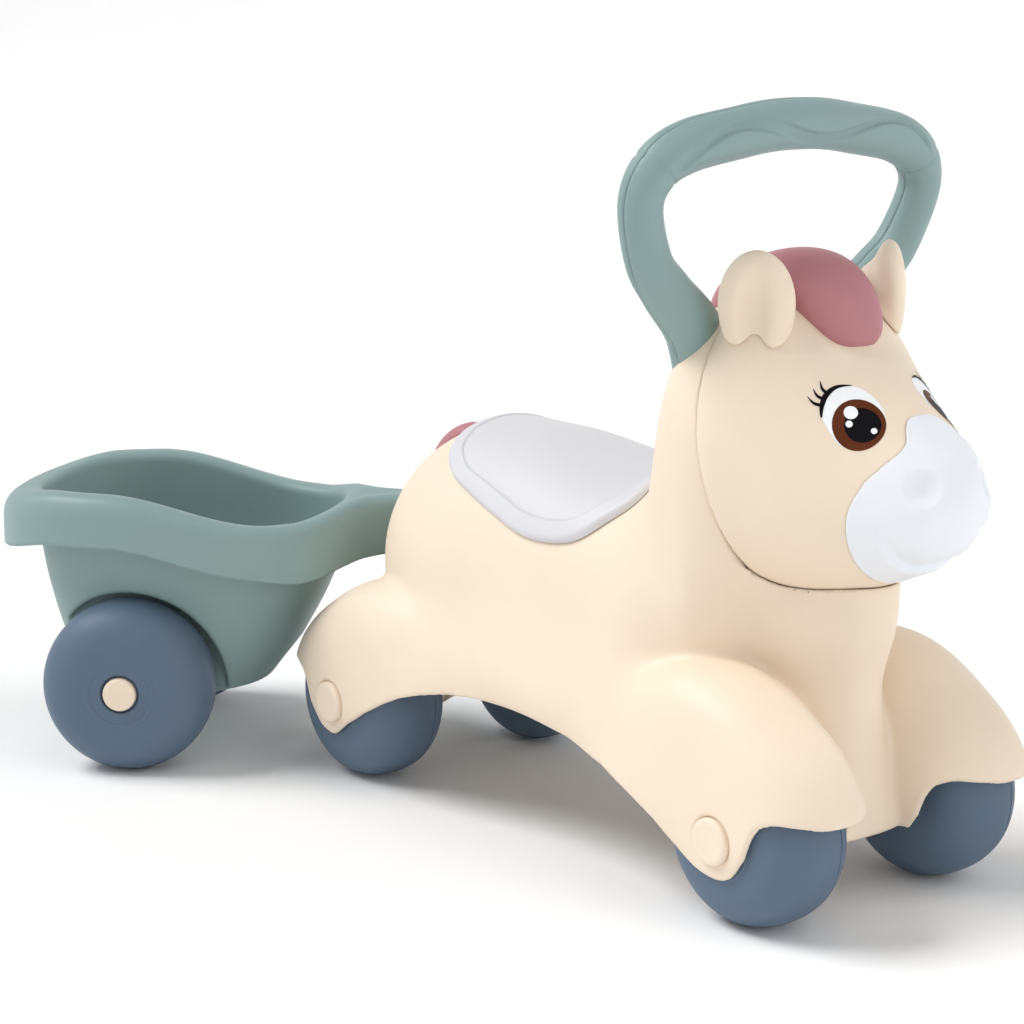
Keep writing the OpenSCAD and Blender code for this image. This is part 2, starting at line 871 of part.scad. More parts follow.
// Ring of the rolled lip: inset from the rim's outer edge, and fall below its crest
function lip_ring(inset, fall) = rim_ring(rim_ahead - inset, rim_behind - inset, rim_half - inset, fall);

module tub_skin() {
  skin(concat(
    [for (l = tub_levels) tub_ring(l[0], l[1], l[2], tub_floor + l[3])],
    [
      rim_ring(rim_ahead - rim_in, rim_behind - rim_in - 4, rim_half - rim_in, rim_skirt - 6),
      rim_ring(rim_ahead - rim_in, rim_behind - rim_in - 4, rim_half - rim_in, tub_wall + 3),
      lip_ring(tub_wall + 3, tub_wall + 6),
      skirt_ring(rim_ahead - tub_wall, rim_behind - tub_wall, rim_half - tub_wall),
      skirt_ring(rim_ahead, rim_behind, rim_half),
      lip_ring(1, 14),
      lip_ring(5, 4),
      lip_ring(11, 0),
      rim_ring(rim_ahead - rim_in - 2, rim_behind - rim_in - 4, rim_half - rim_in - 1, 2),
      rim_ring(rim_ahead - rim_in - 6, rim_behind - rim_in - 7, rim_half - rim_in - 4, 10)
    ],
    [for (i = [len(tub_levels) - 1 : -1 : 0])
      let (l = tub_levels[i])
      tub_ring(l[0] - tub_wall, l[1] - tub_wall, l[2] - tub_wall,
        tub_floor + max(l[3], tub_wall + l[3] / 2))]
  ));
}

// Recess in the tub's side for a wheel
pocket_clear = 4;
pocket_y = trailer_y - half_w - 3;
module pockets(grow) {
  mirrored()
    translate([-drawbar, pocket_y - grow, trailer_wheel_r])
      rotate([-90, 0, 0])
        cylinder(r = trailer_wheel_r + pocket_clear + grow, h = 80, $fn = 36);
}

// Solid of the tub's outer wall, from its floor to under the rim
module tub_core(inset) {
  skin([for (l = tub_levels) tub_ring(l[0] - inset, l[1] - inset, l[2] - inset, tub_floor + l[3])]);
}

// Tongue from the front of the rim to the hitch
tongue_steps = 10;
tongue_top = 181;
tongue_low = ring_low + 2;
tongue_start = tub_u + rim_ahead - 24;
tongue_r = ring_r + 3;
tongue_end = tongue_r - 2;
function tongue_half(u) =
  u > 0 ? sqrt(tongue_r * tongue_r - u * u) : mix(tongue_r, 46, pow(u / tongue_start, 1.6));
module tongue_slice(t) {
  u = mix(tongue_start, tongue_end, t);
  top = mix(rim_wave(tongue_start) + 1, tongue_top, ease(t));
  low = mix(rim_wave(tongue_start) - skirt(tongue_start), tongue_low, ease(t));
  half = tongue_half(u);
  translate([u, 0, 0])
    rotate([90, 0, 90])
      linear_extrude(0.1)
        polygon([
          [-half, low], [half, low], [half, top - 9], [half - 3, top - 3], [half * 0.5, top],
          [-half * 0.5, top], [3 - half, top - 3], [-half, top - 9]
        ]);
}

module tongue() {
  for (i = [0 : tongue_steps - 1])
    hull() {
      tongue_slice(i / tongue_steps);
      tongue_slice((i + 1) / tongue_steps);
    }
}

tunnel_r = axle_r + 5;
module trailer_tub() {
  color(sage)
    at_hitch()
      difference() {
        union() {
          difference() {
            tub_skin();
            pockets(0);
          }
          intersection() {
            tub_core(0.4);
            difference() {
              pockets(tub_wall);
              pockets(0);
            }
          }
          difference() {
            tongue();
            tub_core(tub_wall);
            skin([
              rim_ring(rim_ahead - rim_in - 6, rim_behind - rim_in - 7, rim_half - rim_in - 4, 60),
              rim_ring(rim_ahead - rim_in - 6, rim_behind - rim_in - 7, rim_half - rim_in - 4, -30)
            ]);
          }
          intersection() {
            tub_core(0.5);
            translate([-drawbar, 0, trailer_wheel_r]) rotate([90, 0, 0])
              cylinder(r = tunnel_r, h = 2 * pocket_y, center = true, $fn = 24);
          }
        }
        translate([-drawbar, 0, trailer_wheel_r]) rotate([90, 0, 0])
          cylinder(r = axle_r + axle_hole_clear, h = 2 * trailer_track, center = true, $fn = 32);
        tow_room();
      }
}

// Ring that sits on the hitch pin, plugged into the tongue by a square shank
shank_w = 16;
shank_len = 26;
module tow_ring_outline(grow) {
  circle(r = ring_r + grow, $fn = turned_fn);
  translate([-ring_r - shank_len - grow, -shank_w / 2 - grow])
    square([ring_r + shank_len, shank_w + 2 * grow]);
}

module tow_room() {
  translate([0, 0, ring_low - 20]) linear_extrude(ring_h + 20 + joint_gap) tow_ring_outline(cap_clear);
}

module tow_ring() {
  color(sage)
    at_hitch()
      translate([0, 0, ring_low])
        linear_extrude(ring_h)
          difference() {
            tow_ring_outline(0);
            circle(r = pin_r + run_clear, $fn = turned_fn);
          }
}

trailer_cap_r = 11.5;
trailer_cap_sunk = 3.5;
trailer_axle_half = trailer_y + half_w - axle_inset;

module trailer_axle() {
  color(steel)
    at_hitch()
      translate([-drawbar, 0, trailer_wheel_r]) rotate([90, 0, 0])
        cylinder(r = axle_r, h = 2 * trailer_axle_half, center = true, $fn = turned_fn);
}

module trailer_wheel_place(side) {
  at_hitch() translate([-drawbar, side * trailer_y, trailer_wheel_r]) children();
}

module trailer_cap(side) {
  at_hitch()
    translate([-drawbar, side * (trailer_y + half_w), trailer_wheel_r])
      rotate([-90 * side, 0, 0])
        cap_solid(trailer_cap_r, trailer_cap_sunk, cap_proud, trailer_cap_sunk - axle_inset + cap_clear);
}

module wheel_trailer_right() trailer_wheel_place(-1) wheel_main(trailer_wheel_r);
module wheel_trailer_right_cover() trailer_wheel_place(-1) wheel_cover(trailer_wheel_r);
module wheel_trailer_left() trailer_wheel_place(1) wheel_main(trailer_wheel_r);
module wheel_trailer_left_cover() trailer_wheel_place(1) wheel_cover(trailer_wheel_r);
module cap_trailer_right() trailer_cap(-1);
module cap_trailer_left() trailer_cap(1);

body_shell();
head_shell();
muzzle();
mane();
tail();
ear_right();
ear_left();
seat();
handle_front();
handle_back();
front_axle();
rear_axle();
cap_front_right();
cap_front_left();
cap_rear_right();
cap_rear_left();
wheel_front_right();
wheel_front_right_cover();
wheel_front_left();
wheel_front_left_cover();
wheel_rear_right();
wheel_rear_right_cover();
wheel_rear_left();
wheel_rear_left_cover();
hitch_bracket();
hitch_pin();
trailer_tub();
tow_ring();
trailer_axle();
wheel_trailer_right();
wheel_trailer_right_cover();
wheel_trailer_left();
wheel_trailer_left_cover();
cap_trailer_right();
cap_trailer_left();
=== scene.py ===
import json
import math
from itertools import product

import bpy
import numpy as np
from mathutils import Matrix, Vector


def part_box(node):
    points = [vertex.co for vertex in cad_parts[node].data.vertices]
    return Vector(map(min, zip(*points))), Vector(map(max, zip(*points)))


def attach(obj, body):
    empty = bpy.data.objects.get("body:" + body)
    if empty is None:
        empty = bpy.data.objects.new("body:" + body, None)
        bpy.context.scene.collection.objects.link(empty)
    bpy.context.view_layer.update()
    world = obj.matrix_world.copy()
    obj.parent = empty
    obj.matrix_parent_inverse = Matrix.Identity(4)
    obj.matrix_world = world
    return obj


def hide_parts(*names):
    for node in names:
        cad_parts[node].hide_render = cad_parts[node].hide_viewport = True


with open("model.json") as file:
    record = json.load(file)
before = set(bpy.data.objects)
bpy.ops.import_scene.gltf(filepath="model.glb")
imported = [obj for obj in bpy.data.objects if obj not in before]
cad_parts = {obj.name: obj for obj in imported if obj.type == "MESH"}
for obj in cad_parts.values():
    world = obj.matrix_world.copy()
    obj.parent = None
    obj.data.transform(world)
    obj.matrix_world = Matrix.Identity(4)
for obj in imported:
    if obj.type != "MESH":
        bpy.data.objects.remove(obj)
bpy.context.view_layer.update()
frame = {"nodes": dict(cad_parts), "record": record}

# Places taken from the frame, in millimetres like all sizes below
MM = 0.001
JOINTS = {j["name"]: j for j in frame["record"]["behaviour"]["joints"]}


def joint_place(name):
    return np.array(JOINTS[name]["pos_m"]) / MM


def joint_turn(name):
    """Angle of a level joint axis from Y, about Z."""
    axis = JOINTS[name]["axis"]
    return math.atan2(-axis[0], axis[1])


FRONT_X = joint_place("front_left_roll")[0]
REAR_X = joint_place("rear_left_roll")[0]
SIDE_Y = joint_place("front_left_roll")[1]
WHEEL_R = joint_place("front_left_roll")[2]
TRAILER_WHEEL_R = joint_place("trailer_left_roll")[2]
HITCH = joint_place("trailer_swing")
SWING = joint_turn("trailer_right_roll")
CHEEK_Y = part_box("front_axle")[1][1] / MM + 1.0
HANDLE_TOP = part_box("handle_front")[1][2] / MM
HANDLE_HALF_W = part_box("handle_front")[1][1] / MM


# Curves and fields. A field is nearly a signed distance in millimetres, negative inside.


def spline(points, t):
    """Places t (0 to count - 1) on a smooth curve through the points."""
    points = np.asarray(points, float)
    last = len(points) - 1
    t = np.asarray(t, float)
    i = np.clip(np.floor(t).astype(int), 0, last - 1)
    u = t - i
    if points.ndim > 1:
        u = u[..., None]
    a, b = points[np.maximum(i - 1, 0)], points[i]
    c, d = points[i + 1], points[np.minimum(i + 2, last)]
    return b + u * ((c - a) / 2 + u * ((2 * a - 5 * b + 4 * c - d) / 2 + u * (3 * b - a - 3 * c + d) / 2))


def curve(x, places, heights):
    """Smooth curve through points with rising places, read at x."""
    t = np.interp(x, places, np.arange(len(places)))
    return spline(heights, t)


def ease(t):
    """Smooth rise from 0 to 1 while t goes from 0 to 1."""
    t = np.clip(t, 0, 1)
    return t * t * (3 - 2 * t)


def join(width, first, *others):
    """Union of fields, blended over a width."""
    for other in others:
        h = np.clip(0.5 + 0.5 * (other - first) / width, 0, 1)
        first = other + (first - other) * h - width * h * (1 - h)
    return first


def join_row(width, pieces):
    """Union of fields made one at a time, each blended into those before it."""
    whole = None
    for piece in pieces:
        whole = piece if whole is None else join(width, whole, piece)
    return whole


def keep(width, first, *others):
    """Intersection of fields, with edges rounded over a width."""
    return -join(width, -first, *[-other for other in others])


def ellipsoid(p, centre, semi, reach=0.0):
    """An ellipsoid with a straight middle of length reach ahead of its centre.

    Its half length may be a pair, behind and ahead.
    """
    x, y, z = p[0] - centre[0], p[1] - centre[1], p[2] - centre[2]
    if reach:
        x = x - np.clip(x, 0, reach)
    along = np.where(x < 0, semi[0][0], semi[0][1]) if np.ndim(semi[0]) else semi[0]
    x, y, z = x / along, y / semi[1], z / semi[2]
    size = np.sqrt(x * x + y * y + z * z) + 1e-4
    slope = np.sqrt((x / along) ** 2 + (y / semi[1]) ** 2 + (z / semi[2]) ** 2) + 1e-6
    return size * (size - 1) / slope


def block(p, low, high):
    """A box between two corners."""
    sides = [abs(c - (a + b) / 2) - (b - a) / 2 for c, a, b in zip(p, low, high)]
    return np.maximum(np.maximum(sides[0], sides[1]), sides[2])


def tube(p, centre, radius):
    """A cylinder along Y."""
    return np.hypot(p[0] - centre[0], p[2] - centre[1]) - radius


def ray_distance(u, v, long, half, power):
    """Distance to an oblong with full corners, along rays from its middle."""
    share = (abs(u / long) ** power + abs(v / half) ** power) ** (1 / power) + 1e-4
    return np.hypot(u, v) * (1 - 1 / share)


# Wheels and the caps over the axle ends
WHEEL_HALF_W, TREAD_R, WHEEL_SEAM, WHEEL_CLEAR = 31.0, 40.0, 13.0, 0.6
CAP_R, TRAILER_CAP_R, CAP_CLEAR, CAP_SEAT = 14.0, 11.5, 0.6, 2.2

# Body. A trim takes off again what the blending of a form's parts has added.
BODY_WALL = 4.5
HOLLOW_TOP = 205.0
BARREL_Z, BARREL_H, BARREL_HALF_W = 150.0, 96.0, 85.0
RUMP_LEN, WITHERS_LEN = 106.0, 90.0
RUMP_X = REAR_X - 31 + RUMP_LEN
WITHERS_X = FRONT_X - 125
SADDLE_DIP, DIP_START, DIP_LEN = 18.0, -75.0, 130.0
FLANK_X, FLANK_Z = RUMP_X + 20, 100.0
FLANK_SEMI = (90, CHEEK_Y - 13, 60)
CHEST_LOW, APRON_HALF_W, APRON_BACK = 41.0, 26.0, FRONT_X - 45
HEAD_X, HEAD_Z, HEAD_R = FRONT_X - 44.5, 277.0, 87.0
SEAM_LEAN, SEAM_GAP, HEAD_CLEAR = math.radians(8.5), 1.8, 0.8

# Leg: its parts in side view, as place ahead of the axle, height, half length and half height
LEG_Y = SIDE_Y - 3
LEG_HALF_W = CHEEK_Y - LEG_Y + 4
LEG_SQUARE = 1.35
LEG_TOP, HOOF_REACH = 148.0, 69.0
HOCK = np.array([-32, WHEEL_R + 12, 102, 50])
THIGH = np.array([-42, LEG_TOP - 53, 70, 53])
HOOF = np.array([HOOF_REACH - 60, WHEEL_R + 5, 60, 56])
FRONT_LIFT, REAR_LIFT = 1.0, -2.0
LEG_SLICES, LEG_BLEND, LEG_TRIM = 5, 12.0, 3.0
# Blend of legs and trunk: narrow at the hooves, wider towards the belly
CREASE, CREASE_MORE, CREASE_LEN = 7.0, 24.0, 80.0


def leg(p, axle_x, way, lift):
    """Hock, thigh and hoof of one leg; way is 1 where the hoof points ahead, and lift raises the thigh."""
    across = LEG_HALF_W * (abs(p[1] - LEG_Y) / LEG_HALF_W) ** LEG_SQUARE
    q = ((p[0] - axle_x) * way, across, p[2])
    thigh = THIGH + [0, lift, 0, 0]

    def part(sizes):
        x, z, length, height = sizes
        return ellipsoid(q, (x, 0, z), (length, LEG_HALF_W, height))

    parts = [HOCK] + [thigh + (HOOF - thigh) * t for t in np.linspace(0, 1, LEG_SLICES)]
    return keep(10, join_row(LEG_BLEND, map(part, parts)) + LEG_TRIM, p[1] - CHEEK_Y)


# Column of the chest between the front legs, by height: half length, half width and squareness of its plan
COLUMN_X = FRONT_X - 39
COLUMN_LEVELS = [30, 41, 85, 128, 168, 225]
COLUMN_LEN = [58.5, 58.5, 56, 55, 66, 67]
COLUMN_HALF_W = [48, 48, 41, 35, 41, 43]
COLUMN_POWER = [3.2, 3.2, 2.6, 2.2, 2, 2]


def column(p):
    """The chest's plan outline."""
    sizes = [curve(p[2], COLUMN_LEVELS, line) for line in (COLUMN_LEN, COLUMN_HALF_W, COLUMN_POWER)]
    return ray_distance(p[0] - COLUMN_X, p[1], *sizes)


# Neck from the joint with the head down to the shoulders: place along and up, half lengths behind and ahead,
# half width and half height
NAPE = np.array([HEAD_X - 12, HEAD_Z - 1, 64, 68, HEAD_R - 2, HEAD_R + 1])
SHOULDERS = np.array([FRONT_X - 70, 172, 88, 30, 74, 60])
NECK_SLICES, NECK_BLEND, NECK_TRIM = 6, 8.0, 2.0


def neck_form(p):
    def part(t):
        x, z, behind, ahead, half, height = NAPE + (SHOULDERS - NAPE) * t
        return ellipsoid(p, (x, 0, z), ((behind, ahead), half, height))

    return join_row(NECK_BLEND, map(part, np.linspace(0, 1, NECK_SLICES))) + NECK_TRIM


def body_form(p):
    """The body without its hollow and its lower edge."""
    p = (p[0], abs(p[1]), p[2])
    dip = SADDLE_DIP * ease((p[0] - DIP_START) / DIP_LEN) * np.clip((p[2] - BARREL_Z) / BARREL_H, 0, 1) ** 3
    sizes = ((RUMP_LEN, WITHERS_LEN), BARREL_HALF_W + 1, BARREL_H)
    barrel = ellipsoid((p[0], p[1], p[2] + dip), (RUMP_X, 0, BARREL_Z), sizes, WITHERS_X - RUMP_X)
    flank = ellipsoid(p, (FLANK_X, 0, FLANK_Z), FLANK_SEMI, WITHERS_X - FLANK_X)
    breast = keep(8, column(p), p[2] - COLUMN_LEVELS[-1])
    front = leg(p, FRONT_X, 1, FRONT_LIFT)
    rear = leg(p, REAR_X, -1, REAR_LIFT)
    crease = CREASE + CREASE_MORE * ease((FRONT_X - 60 - abs(p[0])) / CREASE_LEN)
    return join(crease, join(18, join(24, barrel, flank), neck_form(p), breast), front, rear)


# Lower edge in side view: along the belly from axle to axle, and from each axle out to its hoof
BELLY_EDGE = [
    (-190, 32), (-173, 43), (-152, 55.5), (-121, 70.5), (-100, 78), (-70, 84), (-30, 86), (0, 85.5), (31, 81),
    (83, 74), (110, 67), (137, 56), (157, 44), (173, 35), (190, 32),
]
HOOF_EDGE = [
    (0, 32), (13, 36.5), (24, 50), (30, 64), (35, 71), (45, 75), (57, 74.5), (68, 73), (80, 76), (100, 79),
]
INWARD_LEN, INWARD_SHIFT = 25.0, 5.5


def lower_edge(x, ahead=0.0):
    """Height of the edge; ahead moves it along the front hooves."""
    hoof = curve(abs(x) - FRONT_X - np.where(x > 0, ahead, 0), *zip(*HOOF_EDGE))
    return np.where(abs(x) > FRONT_X, hoof, curve(x, *zip(*BELLY_EDGE)))


def below_edge(p):
    """The space under the legs, the belly and the chest's apron."""
    x, y, z = p
    inward = ease((SIDE_Y - abs(y)) / INWARD_LEN)
    edge = lower_edge(x, INWARD_SHIFT * inward)
    edge = edge + np.maximum(CHEST_LOW - edge, 0) * inward
    slope = lower_edge(x + 0.5) - lower_edge(x - 0.5)
    space = (z - edge) / np.sqrt(1 + slope**2)
    apron = np.maximum(column(p) - 1, abs(y) - APRON_HALF_W)
    apron = np.maximum(np.maximum(apron, APRON_BACK - x), CHEST_LOW - z)
    return keep(2, space, -apron)


def ahead_of_seam(p):
    """Negative ahead of the joint between neck and head."""
    return -((p[0] - HEAD_X) * math.cos(SEAM_LEAN) + (p[2] - HEAD_Z) * math.sin(SEAM_LEAN))


def wheel_room(p, axle_x):
    """A wheel with a little room round it."""
    r, s = np.hypot(p[0] - axle_x, p[2] - WHEEL_R), abs(p[1]) - SIDE_Y
    ring = np.hypot(r - WHEEL_R + TREAD_R, s) - TREAD_R
    return np.maximum(ring, abs(s) - WHEEL_HALF_W) - WHEEL_CLEAR


# Ribs beside the wheels: corners of the one at the front left, and how deep ribs and wheel rooms stay under the skin
RIB_Y = SIDE_Y - WHEEL_HALF_W - 2
RIB_LOW = (FRONT_X - 32, RIB_Y - BODY_WALL, CHEST_LOW)
RIB_HIGH = (FRONT_X + 12, RIB_Y, 230)
RIB_DEPTH, ROOM_DEPTH = 2.5, 2.4


def body_field(p):
    form = body_form(p)
    shell = keep(1.5, form, -np.maximum(form + BODY_WALL, p[2] - HOLLOW_TOP))
    # The ribs are joined twice, which makes them half a millimetre thicker all round
    ribs = np.maximum(form + RIB_DEPTH, block((abs(p[0]), abs(p[1]), p[2]), RIB_LOW, RIB_HIGH))
    shell = join(2, shell, ribs, ribs)
    shell = keep(3, shell, -below_edge(p))
    for axle in (FRONT_X, REAR_X):
        shell = keep(1, shell, -np.maximum(wheel_room(p, axle), form + ROOM_DEPTH))
    shell = keep(1, shell, -np.maximum(head_form(p) - HEAD_CLEAR, ahead_of_seam(p)))
    for axle in (FRONT_X, REAR_X):
        seat = np.maximum(tube(p, (axle, WHEEL_R), CAP_R + CAP_CLEAR), CHEEK_Y - CAP_SEAT - abs(p[1]))
        shell = keep(1.6, shell, -seat)
    return shell


# Head: place ahead of the joint, fall, and half sizes along, across and up
SNOUT_AHEAD, SNOUT_DROP, SNOUT_R = 90.0, 29.0, 42.0
HEAD_SECTIONS = [
    (0, 2.5, 48, HEAD_R - 2, HEAD_R + 5.5),
    (0.42 * SNOUT_AHEAD, 0.74 * SNOUT_DROP, 46, 71.5, 72.4),
    (SNOUT_AHEAD, SNOUT_DROP, SNOUT_R, SNOUT_R, SNOUT_R),
]
HEAD_SLICES, HEAD_BLEND, HEAD_TRIM = 12, 5.0, 0.8


def head_form(p):
    p = (p[0], abs(p[1]), p[2])

    def part(t):
        ahead, fall, *semi = spline(HEAD_SECTIONS, t)
        return ellipsoid(p, (HEAD_X + ahead, 0, HEAD_Z - fall), semi)

    return join_row(HEAD_BLEND, map(part, np.linspace(0, len(HEAD_SECTIONS) - 1, HEAD_SLICES))) + HEAD_TRIM


# Edge of the muzzle: angle round the snout from straight up, and how far ahead the edge lies
MUZZLE_EDGE = [
    (0, 239), (12, 239), (20, 242), (33, 248.5), (46, 249), (62, 244.5), (75, 239), (98, 231.5), (126, 228), (180, 226),
]
MUZZLE_Z, MUZZLE_PROUD, MUZZLE_GAP = 250.0, 0.8, 0.2
NOSTRIL, NOSTRIL_R, NOSTRIL_DEPTH = (266.5, 25.5, 260.5), 12.5, 6.5
# Swell of the lip below each nostril
SWELL, SWELL_R, SWELL_DROP = 1.6, NOSTRIL_R + 3, 15.0
# Mouth: a step round the lower snout, deepest below, and further ahead in the middle
MOUTH_X, MOUTH_TOP, MOUTH_LOW, MOUTH_BOW, MOUTH_BOW_W = 245.5, 242.0, 216.0, 6.0, 16.0
LIP_DEPTH, LIP_LEN, LIP_STEEP = 4.0, 20.0, 10.0


def behind_muzzle_edge(p):
    """Positive behind the edge of the muzzle."""
    angle = np.degrees(np.arctan2(abs(p[1]), p[2] - MUZZLE_Z))
    return curve(angle, *zip(*MUZZLE_EDGE)) - p[0]


def head_field(p):
    form = head_form(p)
    shell = keep(1.5, form, -(form + BODY_WALL))
    shell = keep(1, shell, ahead_of_seam(p) + SEAM_GAP)
    return np.maximum(shell, MUZZLE_GAP - behind_muzzle_edge(p))


def mound(p, place, radius):
    """A round mound of height 1, flat at its foot."""
    away = np.sqrt(sum((a - b) ** 2 for a, b in zip(p, place)))
    return (1 - np.clip(away / radius, 0, 1) ** 2) ** 2


def muzzle_field(p):
    x, y, z = q = (p[0], abs(p[1]), p[2])
    below = (NOSTRIL[0], NOSTRIL[1], NOSTRIL[2] - SWELL_DROP)
    dent = NOSTRIL_DEPTH * mound(q, NOSTRIL, NOSTRIL_R) - SWELL * mound(q, below, SWELL_R)
    ahead = (x - MOUTH_X - MOUTH_BOW * ease((MOUTH_BOW_W - y) / MOUTH_BOW_W)) / LIP_LEN
    lip = LIP_DEPTH * ease(ahead * LIP_STEEP) * (1 - ease(ahead)) * ease((MOUTH_TOP - z) / (MOUTH_TOP - MOUTH_LOW))
    form = head_form(p) - MUZZLE_PROUD + dent + lip
    shell = np.maximum(form, -(form + BODY_WALL + NOSTRIL_DEPTH))
    return keep(1.0, shell, behind_muzzle_edge(p) + MUZZLE_GAP)


# Ear on the right side: a leaf on a root, scooped in front, each with its middle and half sizes
EAR_PLACE = np.array([HEAD_X + 17, -54.0, HEAD_Z + 81])
EAR_TURN = math.radians(-53)
EAR_LEAF = ((0, 0, -3), (11, 23, 31))
EAR_ROOT = ((-9, 0, -18), (17, 19, 32))
EAR_SCOOP = ((15, 0, -9), (14, 11, 30))
EAR_TRIM, SEATED = 0.8, 0.2


def ear_field(p):
    dx, dy, dz = p[0] - EAR_PLACE[0], p[1] - EAR_PLACE[1], p[2] - EAR_PLACE[2]
    out = dx * math.cos(EAR_TURN) + dy * math.sin(EAR_TURN)
    side = -dx * math.sin(EAR_TURN) + dy * math.cos(EAR_TURN)
    leaf, root, scoop = [ellipsoid((out, side, dz), *sizes) for sizes in (EAR_LEAF, EAR_ROOT, EAR_SCOOP)]
    leaf = keep(7, join(8, leaf, root) + EAR_TRIM, -scoop)
    return keep(2.5, leaf, -(head_form(p) - SEATED))


# Tail, lying on the rump behind the seat: turns from straight up, round the rump's side view
TAIL_TURNS = np.radians([30, 60])
TAIL_R = [9, 12, 12, 10, 6]
TAIL_LIFT, TAIL_WIDE, TAIL_SLICES, TAIL_BLEND = 0.97, 1.25, 12, 5.0


def tail_field(p):
    def part(t):
        turn = TAIL_TURNS[0] + (TAIL_TURNS[1] - TAIL_TURNS[0]) * t
        x = RUMP_X - TAIL_LIFT * RUMP_LEN * math.sin(turn)
        z = BARREL_Z + TAIL_LIFT * BARREL_H * math.cos(turn)
        r = spline(TAIL_R, t * (len(TAIL_R) - 1))
        return ellipsoid(p, (x, 0, z), (r, TAIL_WIDE * r, r))

    whole = join_row(TAIL_BLEND, map(part, np.linspace(0, 1, TAIL_SLICES)))
    return keep(2, whole, -(body_form(p) - SEATED))


# Trailer, straight behind the hitch: u ahead of the pin, v to the left
DRAWBAR, TRAILER_Y = 188.0, 88.0
TUB_U, TUB_POWER = 25 - DRAWBAR, 2.5
TUB_FLOOR, TUB_WALL, TUB_BELOW_RIM = 42.0, 4.0, 20.0
POCKET_R, POCKET_Y = TRAILER_WHEEL_R + 3, TRAILER_Y - 34
# Plan of the tub by height over its floor
TUB_LEVELS = [0, 7, 34, 72, 104, 160]
TUB_AHEAD = [42, 60, 81, 101, 112, 116]
TUB_BEHIND = [54, 70, 86, 97, 103, 106]
TUB_HALF_W = [52, 66, 77, 84, 87, 88]
RIM_AHEAD, RIM_BEHIND, RIM_HALF_W = 131.0, 129.0, 107.0
# Rim: height of its crest, depth of its skirt and what it gains in front, rounding, inward fall and its reach
RIM_Z, RIM_SKIRT, SKIRT_MORE, RIM_ROUND = 196.5, 38.5, 7.0, 20.0
RIM_FALL, RIM_FALL_LEN = 0.22, 30.0
RIM_THICK = 3.0
# Waves of the crest: place ahead of the axle where each starts, its length and its rise
RIM_WAVES = [(-15, 115, -22), (110, 45, 9), (-45, -65, -11)]
TONGUE_R, TONGUE_TOP, TONGUE_LOW, TONGUE_ROUND = 16.0, 181.0, 141.5, 7.0
TONGUE_START, TONGUE_FLARE, FLARE_POWER = TUB_U + RIM_AHEAD - 30, 42.0, 1.7
TOW_RING_R, TOW_RING_ROOF = 12.6, 10.0


def oblong(u, v, ahead, behind, half):
    """Plan outline of the tub or the rim."""
    u = u - TUB_U
    return ray_distance(u, v, np.where(u > 0, ahead, behind), half, TUB_POWER)


def wheel_pocket(p, wall):
    """Room for a trailer wheel, grown by a wall."""
    round_axle = tube(p, (-DRAWBAR, TRAILER_WHEEL_R), POCKET_R + wall)
    return np.maximum(round_axle, POCKET_Y - wall - p[1])


def tub_field(p):
    u, v, z = p = (p[0], abs(p[1]), p[2])
    rise = np.clip(z - TUB_FLOOR, 0, TUB_LEVELS[-1])
    wall = oblong(u, v, *[curve(rise, TUB_LEVELS, line) for line in (TUB_AHEAD, TUB_BEHIND, TUB_HALF_W)])
    crest = RIM_Z + sum(height * ease((u + DRAWBAR - start) / length) for start, length, height in RIM_WAVES)
    outer = keep(3, keep(6, wall, TUB_FLOOR - z), -wheel_pocket(p, 0))
    inner = keep(4, wall + TUB_WALL, TUB_FLOOR + TUB_WALL - z, -wheel_pocket(p, TUB_WALL))
    tub = np.maximum(keep(2, outer, -inner), z - crest + TUB_BELOW_RIM)
    # Turned-down rim, drawn out ahead into the tongue, hollow underneath
    t = ease((u - TONGUE_START) / (TONGUE_R - TONGUE_START))
    half = TONGUE_R + TONGUE_FLARE * np.clip(u / TONGUE_START, 0, 1) ** FLARE_POWER
    tongue = np.where(u > 0, np.hypot(u, v), v) - half
    edge = oblong(u, v, RIM_AHEAD, RIM_BEHIND, RIM_HALF_W)
    edge = join(16, edge, np.maximum(tongue, TONGUE_START - u))
    fall = RIM_FALL * (1 - t) * np.clip(-edge, 0, RIM_FALL_LEN)
    low = z - crest - (TONGUE_TOP - crest) * t + fall
    base = RIM_SKIRT + SKIRT_MORE * ease((u - TUB_U - 60) / 50)
    base = base + (TONGUE_TOP - TONGUE_LOW - RIM_SKIRT - SKIRT_MORE) * t
    bend = RIM_ROUND + (TONGUE_ROUND - RIM_ROUND) * t
    band = keep(6, keep(bend, edge, low), -wall - TUB_WALL)
    under = keep(bend - 3, edge + TUB_WALL, low + TUB_WALL + RIM_THICK)
    rim = np.maximum(keep(1.5, band, -np.maximum(under, RIM_THICK - wall)), -low - base)
    ring_room = np.maximum(np.hypot(u, v) - TOW_RING_R, z - TONGUE_TOP + TOW_RING_ROOF)
    return np.minimum(tub, np.maximum(rim, -ring_room))


# Meshes


def slope_of(field, places, reach=0.05):
    """Gradient of a field at places (count by 3)."""
    slopes = []
    for axis in np.eye(3) * reach:
        ahead, behind = (places + axis).T, (places - axis).T
        slopes.append((field(tuple(ahead)) - field(tuple(behind))) / (2 * reach))
    return np.stack(slopes, axis=1)


def pull_onto(field, places, rounds=8, limit=8.0):
    """Moves places along the field's slope until they lie on its surface."""
    for _ in range(rounds):
        slope = slope_of(field, places)
        away = field(tuple(places.T)) / np.maximum((slope**2).sum(1), 0.05)
        places = places - np.clip(away, -limit, limit)[:, None] * slope
    return places


